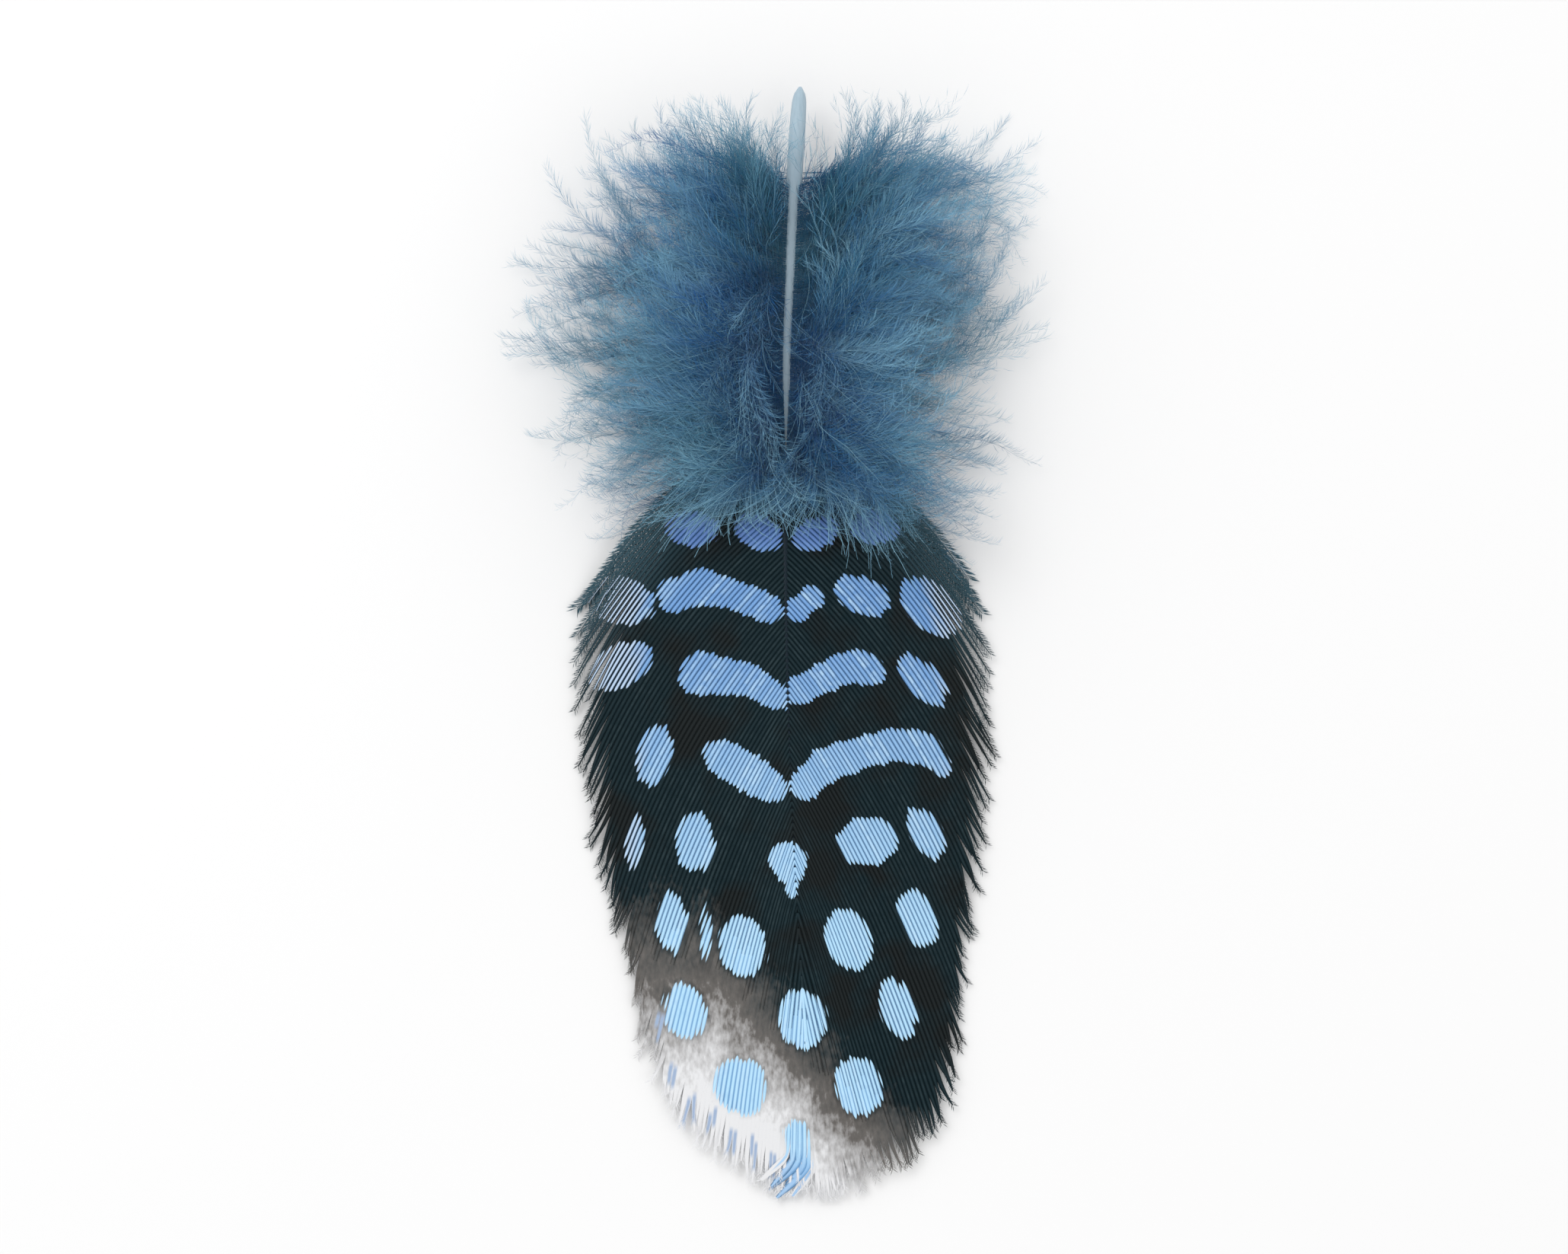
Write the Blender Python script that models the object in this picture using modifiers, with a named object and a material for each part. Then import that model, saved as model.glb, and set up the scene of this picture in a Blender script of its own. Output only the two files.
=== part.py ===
"""A dyed guinea fowl body feather, lying on a surface with its patterned side up.

Metres, +Z up. The quill points to +Y and the tip of the vane to -Y. The origin is on the
surface, under the middle of the feather. One solid: the quill and shaft, both vanes and the
locks of down at the base grew as one piece.

Places on the feather are given as (along, across): along is the distance from the end of the
quill towards the tip, and across is the distance from the shaft, positive to the right.
"""
import math

import bmesh
import bpy
from mathutils import Vector

MM = 0.001

# Driving dimensions
LENGTH = 90 * MM                # end of the quill to the tip of the vane
SHAFT_LENGTH = 80 * MM          # the shaft stops short of the tip, barbs run on past it
SHAFT_BOW_RADIUS = 526 * MM     # the shaft bends slightly sideways, as one long arc
SHAFT_BOW_MIDDLE = 36 * MM      # where along the feather that arc runs straight along Y
SHAFT_OFFSET = 0.1 * MM         # of the shaft there from the middle of the feather's box
TIP_HEIGHT = 0.5 * MM           # top of the vane over the surface, at its tip
ARCH_HEIGHT = 6.0 * MM          # how far the shaft rises over that
ARCH_HIDDEN = 20 * MM           # the arch would reach the surface this far beyond the quill

SHAFT_RADII = (                 # distance along, radius: thick hollow quill to a hair-fine tip
    (0.0 * MM, 0.35 * MM),
    (1.5 * MM, 0.60 * MM),
    (7.0 * MM, 0.66 * MM),
    (35.0 * MM, 0.48 * MM),
    (52.0 * MM, 0.32 * MM),
    (80.0 * MM, 0.18 * MM),
)
SHAFT_POINTS = 26

VANE_THICKNESS = 0.5 * MM
VANE_FIRST_BARB = 27 * MM       # where the first barb of the vane leaves the shaft
MARGIN_HEIGHT = 0.3 * MM        # top of the vane's side margins over the surface
TIP_ROUNDING = 13 * MM          # the tip is round over this length
VANE_HALF_WIDTHS = (            # distance along, left, right
    (28.0 * MM, 9.5 * MM, 9.0 * MM),
    (38.0 * MM, 15.0 * MM, 14.2 * MM),
    (48.0 * MM, 17.0 * MM, 16.2 * MM),
    (60.0 * MM, 16.2 * MM, 15.6 * MM),
    (72.0 * MM, 14.0 * MM, 13.2 * MM),
    (80.0 * MM, 13.0 * MM, 12.2 * MM),
    (90.0 * MM, 12.6 * MM, 11.8 * MM),
)
BARB_ROOT_ANGLES = (60.0, 3.0)  # from the shaft, in degrees: the first barb's and the last's
BARB_END_ANGLES = (34.0, 2.0)   # barbs bend towards the tip, so they end closer to its direction
BARB_END_CHANGE = 0.7           # how soon along the vane the end angle closes up
TUFTS = 14                      # the margin of each vane is parted into this many tufts
ROWS_PER_TUFT = 3
TUFT_PARTINGS = (0.05, 0.13)    # how deep the partings go, of a barb's length
VANE_COLUMNS = 5

DOWN_FIRST = 7.5 * MM           # the down leaves the shaft between these two places
DOWN_LAST = 33 * MM
LOCK_RADIUS = 1.9 * MM          # of a lock of down where it is fullest
LOCK_ROOT_RADIUS = 0.7 * MM
LOCK_TIP_RADIUS = 0.22 * MM
LOCK_POINTS = 7
LOCK_SIDES = 6
LOCK_HEADINGS = (100.0, 50.0)   # angle from the tip's direction, by the quill and by the vane
LOCK_CURL = 16.0                # degrees that a lock may turn along its length
UNEVEN_LENGTH = 0.13            # a lock is this much longer or shorter than its layer's length
UNEVEN_HEIGHT = 0.09            # and rises this much more or less
LOCK_LAYERS = (                 # name, locks a side, length, height it bends to, height at its end
    ("lower", 10, 22 * MM, 0.3 * MM, 0.5 * MM),
    ("upper", 10, 17.5 * MM, 17.0 * MM, 3.4 * MM),
)
DRAPED_LOCKS = (                # a side, forward over the vane: distance along, length, heading
    (26.0 * MM, 18.0 * MM, 46.0),
    (28.4 * MM, 15.0 * MM, 38.0),
    (30.8 * MM, 11.0 * MM, 28.0),
    (33.0 * MM, 7.0 * MM, 16.0),
)
DRAPED_CURL = 12.0              # degrees that they turn outward along their length
DRAPED_LIFT = 1.7 * MM          # how far a draped lock rises over the vane

VANE_COLOUR = (0.012, 0.011, 0.012, 1.0)
DOWN_COLOUR = (0.055, 0.115, 0.175, 1.0)
SHAFT_COLOUR = (0.22, 0.24, 0.26, 1.0)


def slope(table, number, column):
    """The slope of a table's smooth curve at one of its places."""
    before = table[max(number - 1, 0)]
    after = table[min(number + 1, len(table) - 1)]
    return (after[column] - before[column]) / (after[0] - before[0])


def between(table, along, column):
    """A value on the smooth curve through a table of places along the feather."""
    if along <= table[0][0]:
        return table[0][column]
    for number in range(len(table) - 1):
        low = table[number]
        high = table[number + 1]
        if along <= high[0]:
            gap = high[0] - low[0]
            share = (along - low[0]) / gap
            rise = high[column] - low[column]
            start = slope(table, number, column) * gap - rise
            end = rise - slope(table, number + 1, column) * gap
            bend = share * (1 - share) * (start * (1 - share) + end * share)
            return low[column] + rise * share + bend
    return table[-1][column]


def uneven(number):
    """A value from -1 to 1 that looks random from one number to the next, and never changes."""
    return 2 * ((number * 0.618034) % 1.0) - 1


def shaft_across(along):
    """How far the bowed shaft stands to the side of the straight line through its middle."""
    return (along - SHAFT_BOW_MIDDLE) ** 2 / (2 * SHAFT_BOW_RADIUS)


def shaft_height(along):
    """Height of the vane's top at the shaft: the feather arches from its quill to its tip."""
    share = (along + ARCH_HIDDEN) / (LENGTH + ARCH_HIDDEN)
    return TIP_HEIGHT + ARCH_HEIGHT * math.sin(math.pi * min(share, 1.0))


def place(along, across, height):
    """A point of the feather in the part's own frame."""
    return Vector((SHAFT_OFFSET + shaft_across(along) + across, LENGTH / 2 - along, height))


def half_width(along, side):
    """Half the vane's width, with its round tip."""
    width = between(VANE_HALF_WIDTHS, along, 1 if side < 0 else 2)
    short = 1 - (LENGTH - along) / TIP_ROUNDING
    if short > 0:
        width *= math.sqrt(max(0.0, 1 - short * short))
    return width


def barb_angles(root):
    """The angles from the shaft of the barb that leaves it at root, there and at its end."""
    share = (root - VANE_FIRST_BARB) / (SHAFT_LENGTH - VANE_FIRST_BARB)
    start = BARB_ROOT_ANGLES[0] + (BARB_ROOT_ANGLES[1] - BARB_ROOT_ANGLES[0]) * share
    change = share ** BARB_END_CHANGE
    end = BARB_END_ANGLES[0] + (BARB_END_ANGLES[1] - BARB_END_ANGLES[0]) * change
    return math.radians(start), math.radians(end)


def barb_point(root, side, length, share):
    """Along and across of a point on the barb that leaves the shaft at root."""
    start, end = barb_angles(root)
    along = math.cos(start) * share + (math.cos(end) - math.cos(start)) * share * share / 2
    across = math.sin(start) * share + (math.sin(end) - math.sin(start)) * share * share / 2
    return root + length * along, side * length * across


def barb_length(root, side):
    """How long a barb is before it meets the vane's outline, by halving the interval."""
    shortest = 0.0
    longest = LENGTH
    for _ in range(30):
        length = (shortest + longest) / 2
        along, across = barb_point(root, side, length, 1.0)
        if along < LENGTH and abs(across) < half_width(along, side):
            shortest = length
        else:
            longest = length
    return shortest


def vane_height(along, across):
    """Height of the vane's top: each vane curves down from the shaft to its margin."""
    side = 1 if across > 0 else -1
    width = max(half_width(min(along, LENGTH - TIP_ROUNDING), side), MM)
    share = min(abs(across) / width, 1.0)
    top = shaft_height(along)
    return top - max(top - MARGIN_HEIGHT, 0.0) * share * share


def material(name, colour, roughness):
    """A plain finish of one colour."""
    made = bpy.data.materials.new(name)
    made.use_nodes = True
    shader = made.node_tree.nodes["Principled BSDF"]
    shader.inputs["Base Color"].default_value = colour
    shader.inputs["Roughness"].default_value = roughness
    shader.inputs["Metallic"].default_value = 0.0
    made.diffuse_color = colour
    return made


def new_object(name, mesh, collection, finish):
    made = bpy.data.objects.new(name, mesh)
    mesh.materials.append(finish)
    collection.objects.link(made)
    return made


def tuft_reach(number, side):
    """How much of a barb's length is left at a row of the vane, less where the margin parts."""
    if number % ROWS_PER_TUFT != 0 or number == 0 or number == TUFTS * ROWS_PER_TUFT:
        return 1.0
    middle = (TUFT_PARTINGS[0] + TUFT_PARTINGS[1]) / 2
    spread = (TUFT_PARTINGS[1] - TUFT_PARTINGS[0]) / 2
    return 1 - middle - spread * uneven(number + 5 * side)


def vane_row(mesh, number):
    """The points of one left and one right barb, from the left end through the shaft."""
    root = VANE_FIRST_BARB + (SHAFT_LENGTH - VANE_FIRST_BARB) * number / (TUFTS * ROWS_PER_TUFT)
    row = []
    for step in range(-VANE_COLUMNS, VANE_COLUMNS + 1):
        side = -1 if step < 0 else 1
        share = tuft_reach(number, side) * abs(step) / VANE_COLUMNS
        along, across = barb_point(root, side, barb_length(root, side), share)
        row.append(mesh.verts.new(place(along, across, vane_height(along, across))))
    return row


def vane_sheet(collection, finish):
    """Both vanes as one arched sheet, with a parted margin, given its thickness by Solidify."""
    mesh = bmesh.new()
    rows = [vane_row(mesh, number) for number in range(TUFTS * ROWS_PER_TUFT + 1)]
    for row, following in zip(rows, rows[1:]):
        for step in range(2 * VANE_COLUMNS):
            mesh.faces.new((row[step], following[step], following[step + 1], row[step + 1]))
    last = rows[-1]
    middle = VANE_COLUMNS
    mesh.faces.new((last[middle - 1], last[middle + 1], last[middle]))
    for step in range(1, VANE_COLUMNS):
        mesh.faces.new((last[middle - step - 1], last[middle + step + 1],
                        last[middle + step], last[middle - step]))
    bmesh.ops.recalc_face_normals(mesh, faces=mesh.faces)
    if sum(face.normal.z for face in mesh.faces) < 0:
        bmesh.ops.reverse_faces(mesh, faces=mesh.faces)
    data = bpy.data.meshes.new("feather")
    mesh.to_mesh(data)
    mesh.free()
    vane = new_object("feather", data, collection, finish)
    thickness = vane.modifiers.new("vane thickness", "SOLIDIFY")
    thickness.thickness = VANE_THICKNESS
    thickness.offset = -1.0
    return vane


def tapered_tube(name, points, radii, sides, collection, finish):
    """A round tapered tube with closed ends, through the given points, as a mesh."""
    curve = bpy.data.curves.new(name, "CURVE")
    curve.dimensions = "3D"
    curve.bevel_depth = 1.0
    curve.bevel_resolution = sides // 2 - 2
    curve.use_fill_caps = True
    spline = curve.splines.new("POLY")
    spline.points.add(len(points) - 1)
    for point, co, radius in zip(spline.points, points, radii):
        point.co = (*co, 1.0)
        point.radius = radius
    drawn = bpy.data.objects.new(name + " curve", curve)
    collection.objects.link(drawn)
    evaluated = drawn.evaluated_get(bpy.context.evaluated_depsgraph_get())
    data = bpy.data.meshes.new_from_object(evaluated)
    welded = bmesh.new()
    welded.from_mesh(data)
    bmesh.ops.remove_doubles(welded, verts=welded.verts, dist=0.00001)
    bmesh.ops.recalc_face_normals(welded, faces=welded.faces)
    welded.to_mesh(data)
    welded.free()
    data.materials.clear()
    tube = new_object(name, data, collection, finish)
    tube.matrix_world = drawn.matrix_world
    bpy.data.objects.remove(drawn)
    return tube


def shaft(collection, finish):
    """The quill and the shaft that runs on from it through the vane."""
    points = []
    radii = []
    for number in range(SHAFT_POINTS):
        along = SHAFT_LENGTH * number / (SHAFT_POINTS - 1)
        points.append(place(along, 0.0, shaft_height(along) - VANE_THICKNESS / 2))
        radii.append(between(SHAFT_RADII, along, 1))
    return tapered_tube("shaft", points, radii, 8, collection, finish)


def lock_radius(share):
    """A lock is thin at its root, full past its middle and pointed at its end."""
    fullness = math.sin(math.pi * share ** 0.75) if 0 < share < 1 else 0.0
    thin = LOCK_ROOT_RADIUS + (LOCK_TIP_RADIUS - LOCK_ROOT_RADIUS) * share
    return thin + (LOCK_RADIUS - thin) * fullness ** 0.8


def lock(name, root, side, length, heading, curl, height, collection, finish):
    """A lock of down: height gives its middle line's height from along, across and share."""
    along = root
    across = 0.0
    points = []
    radii = []
    steps = LOCK_POINTS - 1
    for number in range(LOCK_POINTS):
        share = number / steps
        points.append(place(along, across, height(along, across, share)))
        radii.append(lock_radius(share))
        angle = math.radians(heading + curl * share)
        along += length / steps * math.cos(angle)
        across += side * length / steps * math.sin(angle)
    tapered_tube(name, points, radii, LOCK_SIDES, collection, finish)


def down(collection, finish):
    """The locks of down on both sides of the shaft, a lower and an upper layer of them."""
    for layer, (layer_name, locks, length, halfway, end) in enumerate(LOCK_LAYERS):
        for side, side_name in ((-1, "left"), (1, "right")):
            for number in range(locks):
                share = (number + 0.5 * layer) / locks
                root = DOWN_FIRST + (DOWN_LAST - DOWN_FIRST) * share
                start = shaft_height(root) - VANE_THICKNESS / 2
                change = uneven(3 * number + 7 * layer + side)
                bend = halfway * (1 + UNEVEN_HEIGHT * uneven(4 * number + side))

                def height(along, across, share):
                    first = start * (1 - share) ** 2
                    return first + 2 * bend * share * (1 - share) + end * share ** 2

                heading = LOCK_HEADINGS[0] + (LOCK_HEADINGS[1] - LOCK_HEADINGS[0]) * share
                lock(f"{side_name} {layer_name} lock {number + 1}", root, side,
                     length * (1 + UNEVEN_LENGTH * change), heading,
                     LOCK_CURL * uneven(5 * number + 2 * layer - side), height,
                     collection, finish)


def draped_locks(collection, finish):
    """A few locks that lie forward over the root of the vane."""
    def height(along, across, share):
        return vane_height(along, across) + DRAPED_LIFT * math.sin(math.pi * share ** 0.8)

    for side, side_name in ((-1, "left"), (1, "right")):
        for number, (root, length, heading) in enumerate(DRAPED_LOCKS):
            change = uneven(number + 2 * side)
            lock(f"{side_name} draped lock {number + 1}", root, side,
                 length * (1 + UNEVEN_LENGTH * change), heading, DRAPED_CURL, height,
                 collection, finish)


def surface_cutter(collection, finish):
    """A block under the feather: what rests on the surface is flat there."""
    mesh = bmesh.new()
    bmesh.ops.create_cube(mesh, size=1.0)
    size = 2 * LENGTH
    bmesh.ops.scale(mesh, vec=(size, size, size), verts=mesh.verts)
    bmesh.ops.translate(mesh, vec=(0.0, 0.0, -size / 2), verts=mesh.verts)
    data = bpy.data.meshes.new("surface cutter")
    mesh.to_mesh(data)
    mesh.free()
    return new_object("surface cutter", data, collection, finish)


def join_and_trim(feather, joined, cutter):
    """Fuses the shaft and the locks to the vane, then cuts the underside flat."""
    union = feather.modifiers.new("grown together", "BOOLEAN")
    union.operation = "UNION"
    union.operand_type = "COLLECTION"
    union.collection = joined
    union.solver = "EXACT"
    union.use_self = True
    union.material_mode = "TRANSFER"
    trim = feather.modifiers.new("lies on the surface", "BOOLEAN")
    trim.operation = "DIFFERENCE"
    trim.object = cutter
    trim.solver = "EXACT"
    trim.material_mode = "TRANSFER"


def shells(mesh):
    """The mesh's faces in connected groups."""
    left = set(mesh.faces)
    while left:
        edge_of_group = [left.pop()]
        group = []
        while edge_of_group:
            face = edge_of_group.pop()
            group.append(face)
            beside = {other for edge in face.edges for other in edge.link_faces} & left
            left -= beside
            edge_of_group.extend(beside)
        yield group


def keep_outer_shell(feather):
    """Applies the joins and fills the tiny pockets that crossing locks shut in between them."""
    evaluated = feather.evaluated_get(bpy.context.evaluated_depsgraph_get())
    data = bpy.data.meshes.new_from_object(evaluated)
    mesh = bmesh.new()
    mesh.from_mesh(data)
    for pocket in sorted(shells(mesh), key=len)[:-1]:
        bmesh.ops.delete(mesh, geom=pocket, context="FACES")
    mesh.to_mesh(data)
    mesh.free()
    feather.modifiers.clear()
    feather.data = data
    data.name = "feather"


def hide_guides(collection):
    for guide in collection.objects:
        guide.hide_render = True
        guide.display_type = "WIRE"


def main():
    for old in list(bpy.data.objects):
        bpy.data.objects.remove(old)
    feather_parts = bpy.data.collections.new("guinea fowl feather")
    joined = bpy.data.collections.new("forms joined to the vane")
    cutters = bpy.data.collections.new("cutters")
    for collection in (feather_parts, joined, cutters):
        bpy.context.scene.collection.children.link(collection)
    vane_finish = material("dark vane", VANE_COLOUR, 0.55)
    down_finish = material("blue down", DOWN_COLOUR, 0.9)
    shaft_finish = material("horn shaft", SHAFT_COLOUR, 0.4)
    feather = vane_sheet(feather_parts, vane_finish)
    shaft(joined, shaft_finish)
    down(joined, down_finish)
    draped_locks(joined, down_finish)
    cutter = surface_cutter(cutters, vane_finish)
    join_and_trim(feather, joined, cutter)
    keep_outer_shell(feather)
    hide_guides(joined)
    hide_guides(cutters)


main()
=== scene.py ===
"""Looks of a dyed guinea fowl body feather that lies on a pale floor, patterned side up.

The frame's one solid gives the feather's size and place. Every piece here follows the same shape
rules as that solid: a bowed, arched shaft, two cambered vanes of single barbs, and locks of down.
Places on the feather are (along, across): along runs from the end of the quill to the tip of the
vane, and across is the distance from the shaft, positive to the right. Lengths are in metres.
"""
import math
import random
from collections import namedtuple

import bpy
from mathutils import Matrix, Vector


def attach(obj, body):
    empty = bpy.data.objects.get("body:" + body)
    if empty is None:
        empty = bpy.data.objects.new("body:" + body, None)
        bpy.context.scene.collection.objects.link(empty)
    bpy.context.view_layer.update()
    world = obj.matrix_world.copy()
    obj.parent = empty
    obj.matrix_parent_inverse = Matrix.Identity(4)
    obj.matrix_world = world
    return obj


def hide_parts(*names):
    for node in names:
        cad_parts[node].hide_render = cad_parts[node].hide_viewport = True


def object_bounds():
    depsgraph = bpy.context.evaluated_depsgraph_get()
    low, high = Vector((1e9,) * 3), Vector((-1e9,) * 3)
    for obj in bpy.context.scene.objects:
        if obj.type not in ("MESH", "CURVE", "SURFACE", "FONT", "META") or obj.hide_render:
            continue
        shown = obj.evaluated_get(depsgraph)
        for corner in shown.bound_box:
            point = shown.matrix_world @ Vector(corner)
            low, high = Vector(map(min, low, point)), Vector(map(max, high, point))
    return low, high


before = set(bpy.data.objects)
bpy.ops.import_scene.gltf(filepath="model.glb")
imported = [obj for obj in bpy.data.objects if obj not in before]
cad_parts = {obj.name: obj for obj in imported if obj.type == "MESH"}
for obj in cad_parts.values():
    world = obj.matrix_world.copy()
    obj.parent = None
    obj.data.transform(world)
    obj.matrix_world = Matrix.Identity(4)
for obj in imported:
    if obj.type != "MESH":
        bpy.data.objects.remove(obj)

CAD_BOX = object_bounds()

bl_info = {
    "name": "Guinea fowl feather",
    "version": (1, 0, 0),
    "blender": (4, 5, 0),
    "location": "3D View > Sidebar > Feather",
    "description": "Shaft, barbs and down of a spotted feather, dyed blue",
    "category": "Object",
}

MM = 0.001
NODE = "feather"
BODY = "root"

# Shape of the feather, with the same values as its solid. Angles are in degrees from the way
# along, and curls are how far a lock turns over its length.
LENGTH = 90 * MM
SHAFT_LENGTH = 80 * MM
SHAFT_BOW_RADIUS = 526 * MM
SHAFT_BOW_MIDDLE = 36 * MM
SHAFT_OFFSET = 0.1 * MM
TIP_HEIGHT = 0.5 * MM
ARCH_HEIGHT = 6.0 * MM
ARCH_HIDDEN = 20 * MM           # how far behind the quill's end the arch would begin
SHAFT_RADII = (                 # distance along, radius
    (0.0 * MM, 0.35 * MM),
    (1.5 * MM, 0.60 * MM),
    (7.0 * MM, 0.66 * MM),
    (35.0 * MM, 0.48 * MM),
    (52.0 * MM, 0.32 * MM),
    (80.0 * MM, 0.18 * MM),
)
VANE_THICKNESS = 0.5 * MM
VANE_FIRST_BARB = 27 * MM
MARGIN_HEIGHT = 0.3 * MM
TIP_ROUNDING = 13 * MM
VANE_HALF_WIDTHS = (            # distance along, left, right
    (28.0 * MM, 9.5 * MM, 9.0 * MM),
    (38.0 * MM, 15.0 * MM, 14.2 * MM),
    (48.0 * MM, 17.0 * MM, 16.2 * MM),
    (60.0 * MM, 16.2 * MM, 15.6 * MM),
    (72.0 * MM, 14.0 * MM, 13.2 * MM),
    (80.0 * MM, 13.0 * MM, 12.2 * MM),
    (90.0 * MM, 12.6 * MM, 11.8 * MM),
)
BARB_ROOT_ANGLES = (60.0, 3.0)  # of the first and the last barb, where they leave the shaft
BARB_END_ANGLES = (34.0, 2.0)   # and at their ends
BARB_END_CHANGE = 0.7
DOWN_FIRST = 7.5 * MM           # where the first and the last lock of down leave the shaft
DOWN_LAST = 33 * MM
LOCK_HEADINGS = (100.0, 50.0)
LOCK_CURL = 16.0
UNEVEN_LENGTH = 0.13            # how far locks differ, as a share of their length or height
UNEVEN_HEIGHT = 0.09
UNEVEN_STEP = 0.618034          # the golden section, whose steps spread evenly and don't repeat
LOCK_LAYERS = (                 # locks a side, length, height it bends to, height at its end
    (10, 22 * MM, 0.3 * MM, 0.5 * MM),
    (10, 17.5 * MM, 17.0 * MM, 3.4 * MM),
)
DRAPED_LOCKS = (                # distance along, length, heading
    (26.0 * MM, 18.0 * MM, 46.0),
    (28.4 * MM, 15.0 * MM, 38.0),
    (30.8 * MM, 11.0 * MM, 28.0),
    (33.0 * MM, 7.0 * MM, 16.0),
)
DRAPED_CURL = 12.0
DRAPED_LIFT = 1.7 * MM
DRAPED_SHAPE = 0.8              # under 1, a draped lock is highest nearer its root

# What only the looks need: the shaft that shows, and where the down ends over the vane
SHAFT_SHOWN = (                 # distance along, half the width that shows between the barbs
    (9.0 * MM, 0.59 * MM),
    (20.0 * MM, 0.53 * MM),
    (30.0 * MM, 0.36 * MM),
    (40.0 * MM, 0.17 * MM),
    (52.0 * MM, 0.08 * MM),
    (60.0 * MM, -0.05 * MM),
    (80.0 * MM, -0.10 * MM),
)
SHAFT_SHOWN_MOST = 0.9          # the most of the shaft's radius that may show
DRAPED_CLEARANCE = 0.45 * MM    # how much higher draped down ends than the solid's locks
DOWN_FRONT = (                  # distance across, how far along the down lies over the vane
    (-14.0 * MM, 40.6 * MM),
    (-6.0 * MM, 38.8 * MM),
    (0.0 * MM, 38.3 * MM),
    (3.0 * MM, 39.0 * MM),
    (8.0 * MM, 41.6 * MM),
    (15.0 * MM, 42.6 * MM),
)
FRONT_FRINGE = 5.5 * MM         # depth over which the down thins to single hairs at its front
DOWN_FLOOR = 0.05 * MM          # the lowest that a fibre of the down lies
LOCK_STEPS = 18
BARB_STEPS = 15
VANE_SEED = 20
BARBULE_SEED = 4
DOWN_SEED = 7

# The pale marks, in mm. Spots: across, along, half length, half width, and the turn of the long
# axis in degrees, from across towards along.
SPOTS = (
    (-2.1, 37.8, 2.0, 1.4, 28), (2.5, 37.8, 2.0, 1.3, -25), (-7.4, 37.2, 2.2, 1.5, 10),
    (7.2, 37.0, 2.1, 1.4, -10),
    (-13.2, 42.6, 2.9, 1.9, 20), (11.5, 43.2, 2.8, 2.0, 40),
    (-13.4, 47.9, 2.9, 1.8, -15), (10.8, 49.2, 2.4, 1.35, 45),
    (-10.7, 55.3, 2.4, 1.4, 105),
    (-7.8, 62.2, 2.4, 1.55, 97), (5.8, 62.2, 2.4, 1.9, -10), (10.5, 61.4, 2.2, 1.35, 62),
    (-12.6, 62.0, 2.0, 0.7, 102),
    (-10.0, 68.4, 2.4, 1.25, 95), (-7.3, 69.6, 2.0, 0.5, 97), (-4.5, 70.4, 2.3, 1.9, 80),
    (3.9, 69.9, 2.4, 1.75, 75), (9.5, 68.1, 2.3, 1.4, 72),
    (-9.4, 75.4, 2.2, 1.7, 90), (-0.2, 76.1, 2.3, 1.9, 90), (7.4, 75.2, 2.3, 1.4, 78),
    (-5.4, 81.3, 2.2, 2.1, 90), (3.8, 81.3, 2.3, 1.9, 88),
)

# Bars and drops: places that the mark runs through, each as across, along, half width
BARS = (
    ((-8.8, 42.5, 1.45), (-6.7, 42.0, 1.5), (-3.9, 42.8, 1.15), (-1.5, 43.9, 1.2)),
    ((0.9, 44.0, 1.0), (2.0, 43.1, 1.0)), ((5.3, 42.5, 1.45), (6.9, 42.9, 1.45)),
    ((-6.9, 48.95, 1.75), (-4.2, 49.3, 1.35), (-2.6, 49.8, 1.3), (-0.9, 51.0, 1.05)),
    ((0.7, 50.5, 1.1), (2.9, 49.4, 1.25), (5.2, 48.3, 1.25), (6.5, 48.7, 1.3)),
    ((-5.4, 55.6, 1.45), (-3.6, 56.7, 1.6), (-1.75, 57.9, 1.35)),
    ((1.2, 57.8, 1.2), (2.7, 56.3, 1.35), (5.75, 55.2, 1.3), (8.8, 54.4, 1.3), (10.9, 54.8, 1.4),
     (12.1, 55.9, 0.9)),
    ((-0.45, 63.9, 1.5), (-0.3, 66.3, 0.3)), ((-1.35, 84.95, 1.03), (-1.35, 86.3, 1.03)),
)

# The last mark's barbs lie bent to the left. The leftmost of them bends at BEND_ALONG, and each
# further to the right, up to the end of BEND_ACROSS, bends later: by BEND_DELAY of its distance.
# BEND_SLOPE is how far they go aside for their way ahead, and BEND_PAIRING how far two barbs part.
BEND_ALONG = 86.6 * MM
BEND_ACROSS = (-2.45 * MM, -0.30 * MM)
BEND_DELAY = 0.5
BEND_SLOPE = 0.93
BEND_PAIRING = 0.13
BEND_ROUNDING = 0.35 * MM


def slope(table, number, column):
    """The slope of a table's smooth curve at one of its places."""
    before = table[max(number - 1, 0)]
    after = table[min(number + 1, len(table) - 1)]
    return (after[column] - before[column]) / (after[0] - before[0])


def between(table, along, column):
    """A value on the smooth curve through a table of places along the feather."""
    if along <= table[0][0]:
        return table[0][column]
    for number in range(len(table) - 1):
        low = table[number]
        high = table[number + 1]
        if along <= high[0]:
            gap = high[0] - low[0]
            share = (along - low[0]) / gap
            rise = high[column] - low[column]
            start = slope(table, number, column) * gap - rise
            end = rise - slope(table, number + 1, column) * gap
            bend = share * (1 - share) * (start * (1 - share) + end * share)
            return low[column] + rise * share + bend
    return table[-1][column]


HALVINGS = 30                   # steps in which a barb's length is found
TILT_STEP = 0.1 * MM            # how far to each side the vane's slope is measured


def clamped(value):
    return min(max(value, 0.0), 1.0)


def uneven(number):
    """A value from -1 to 1 that looks random from one number to the next, and never changes."""
    return 2 * ((number * UNEVEN_STEP) % 1.0) - 1


def shaft_across(along):
    """How far the bowed shaft stands to the side of the straight line through its middle."""
    return (along - SHAFT_BOW_MIDDLE) ** 2 / (2 * SHAFT_BOW_RADIUS)


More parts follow.
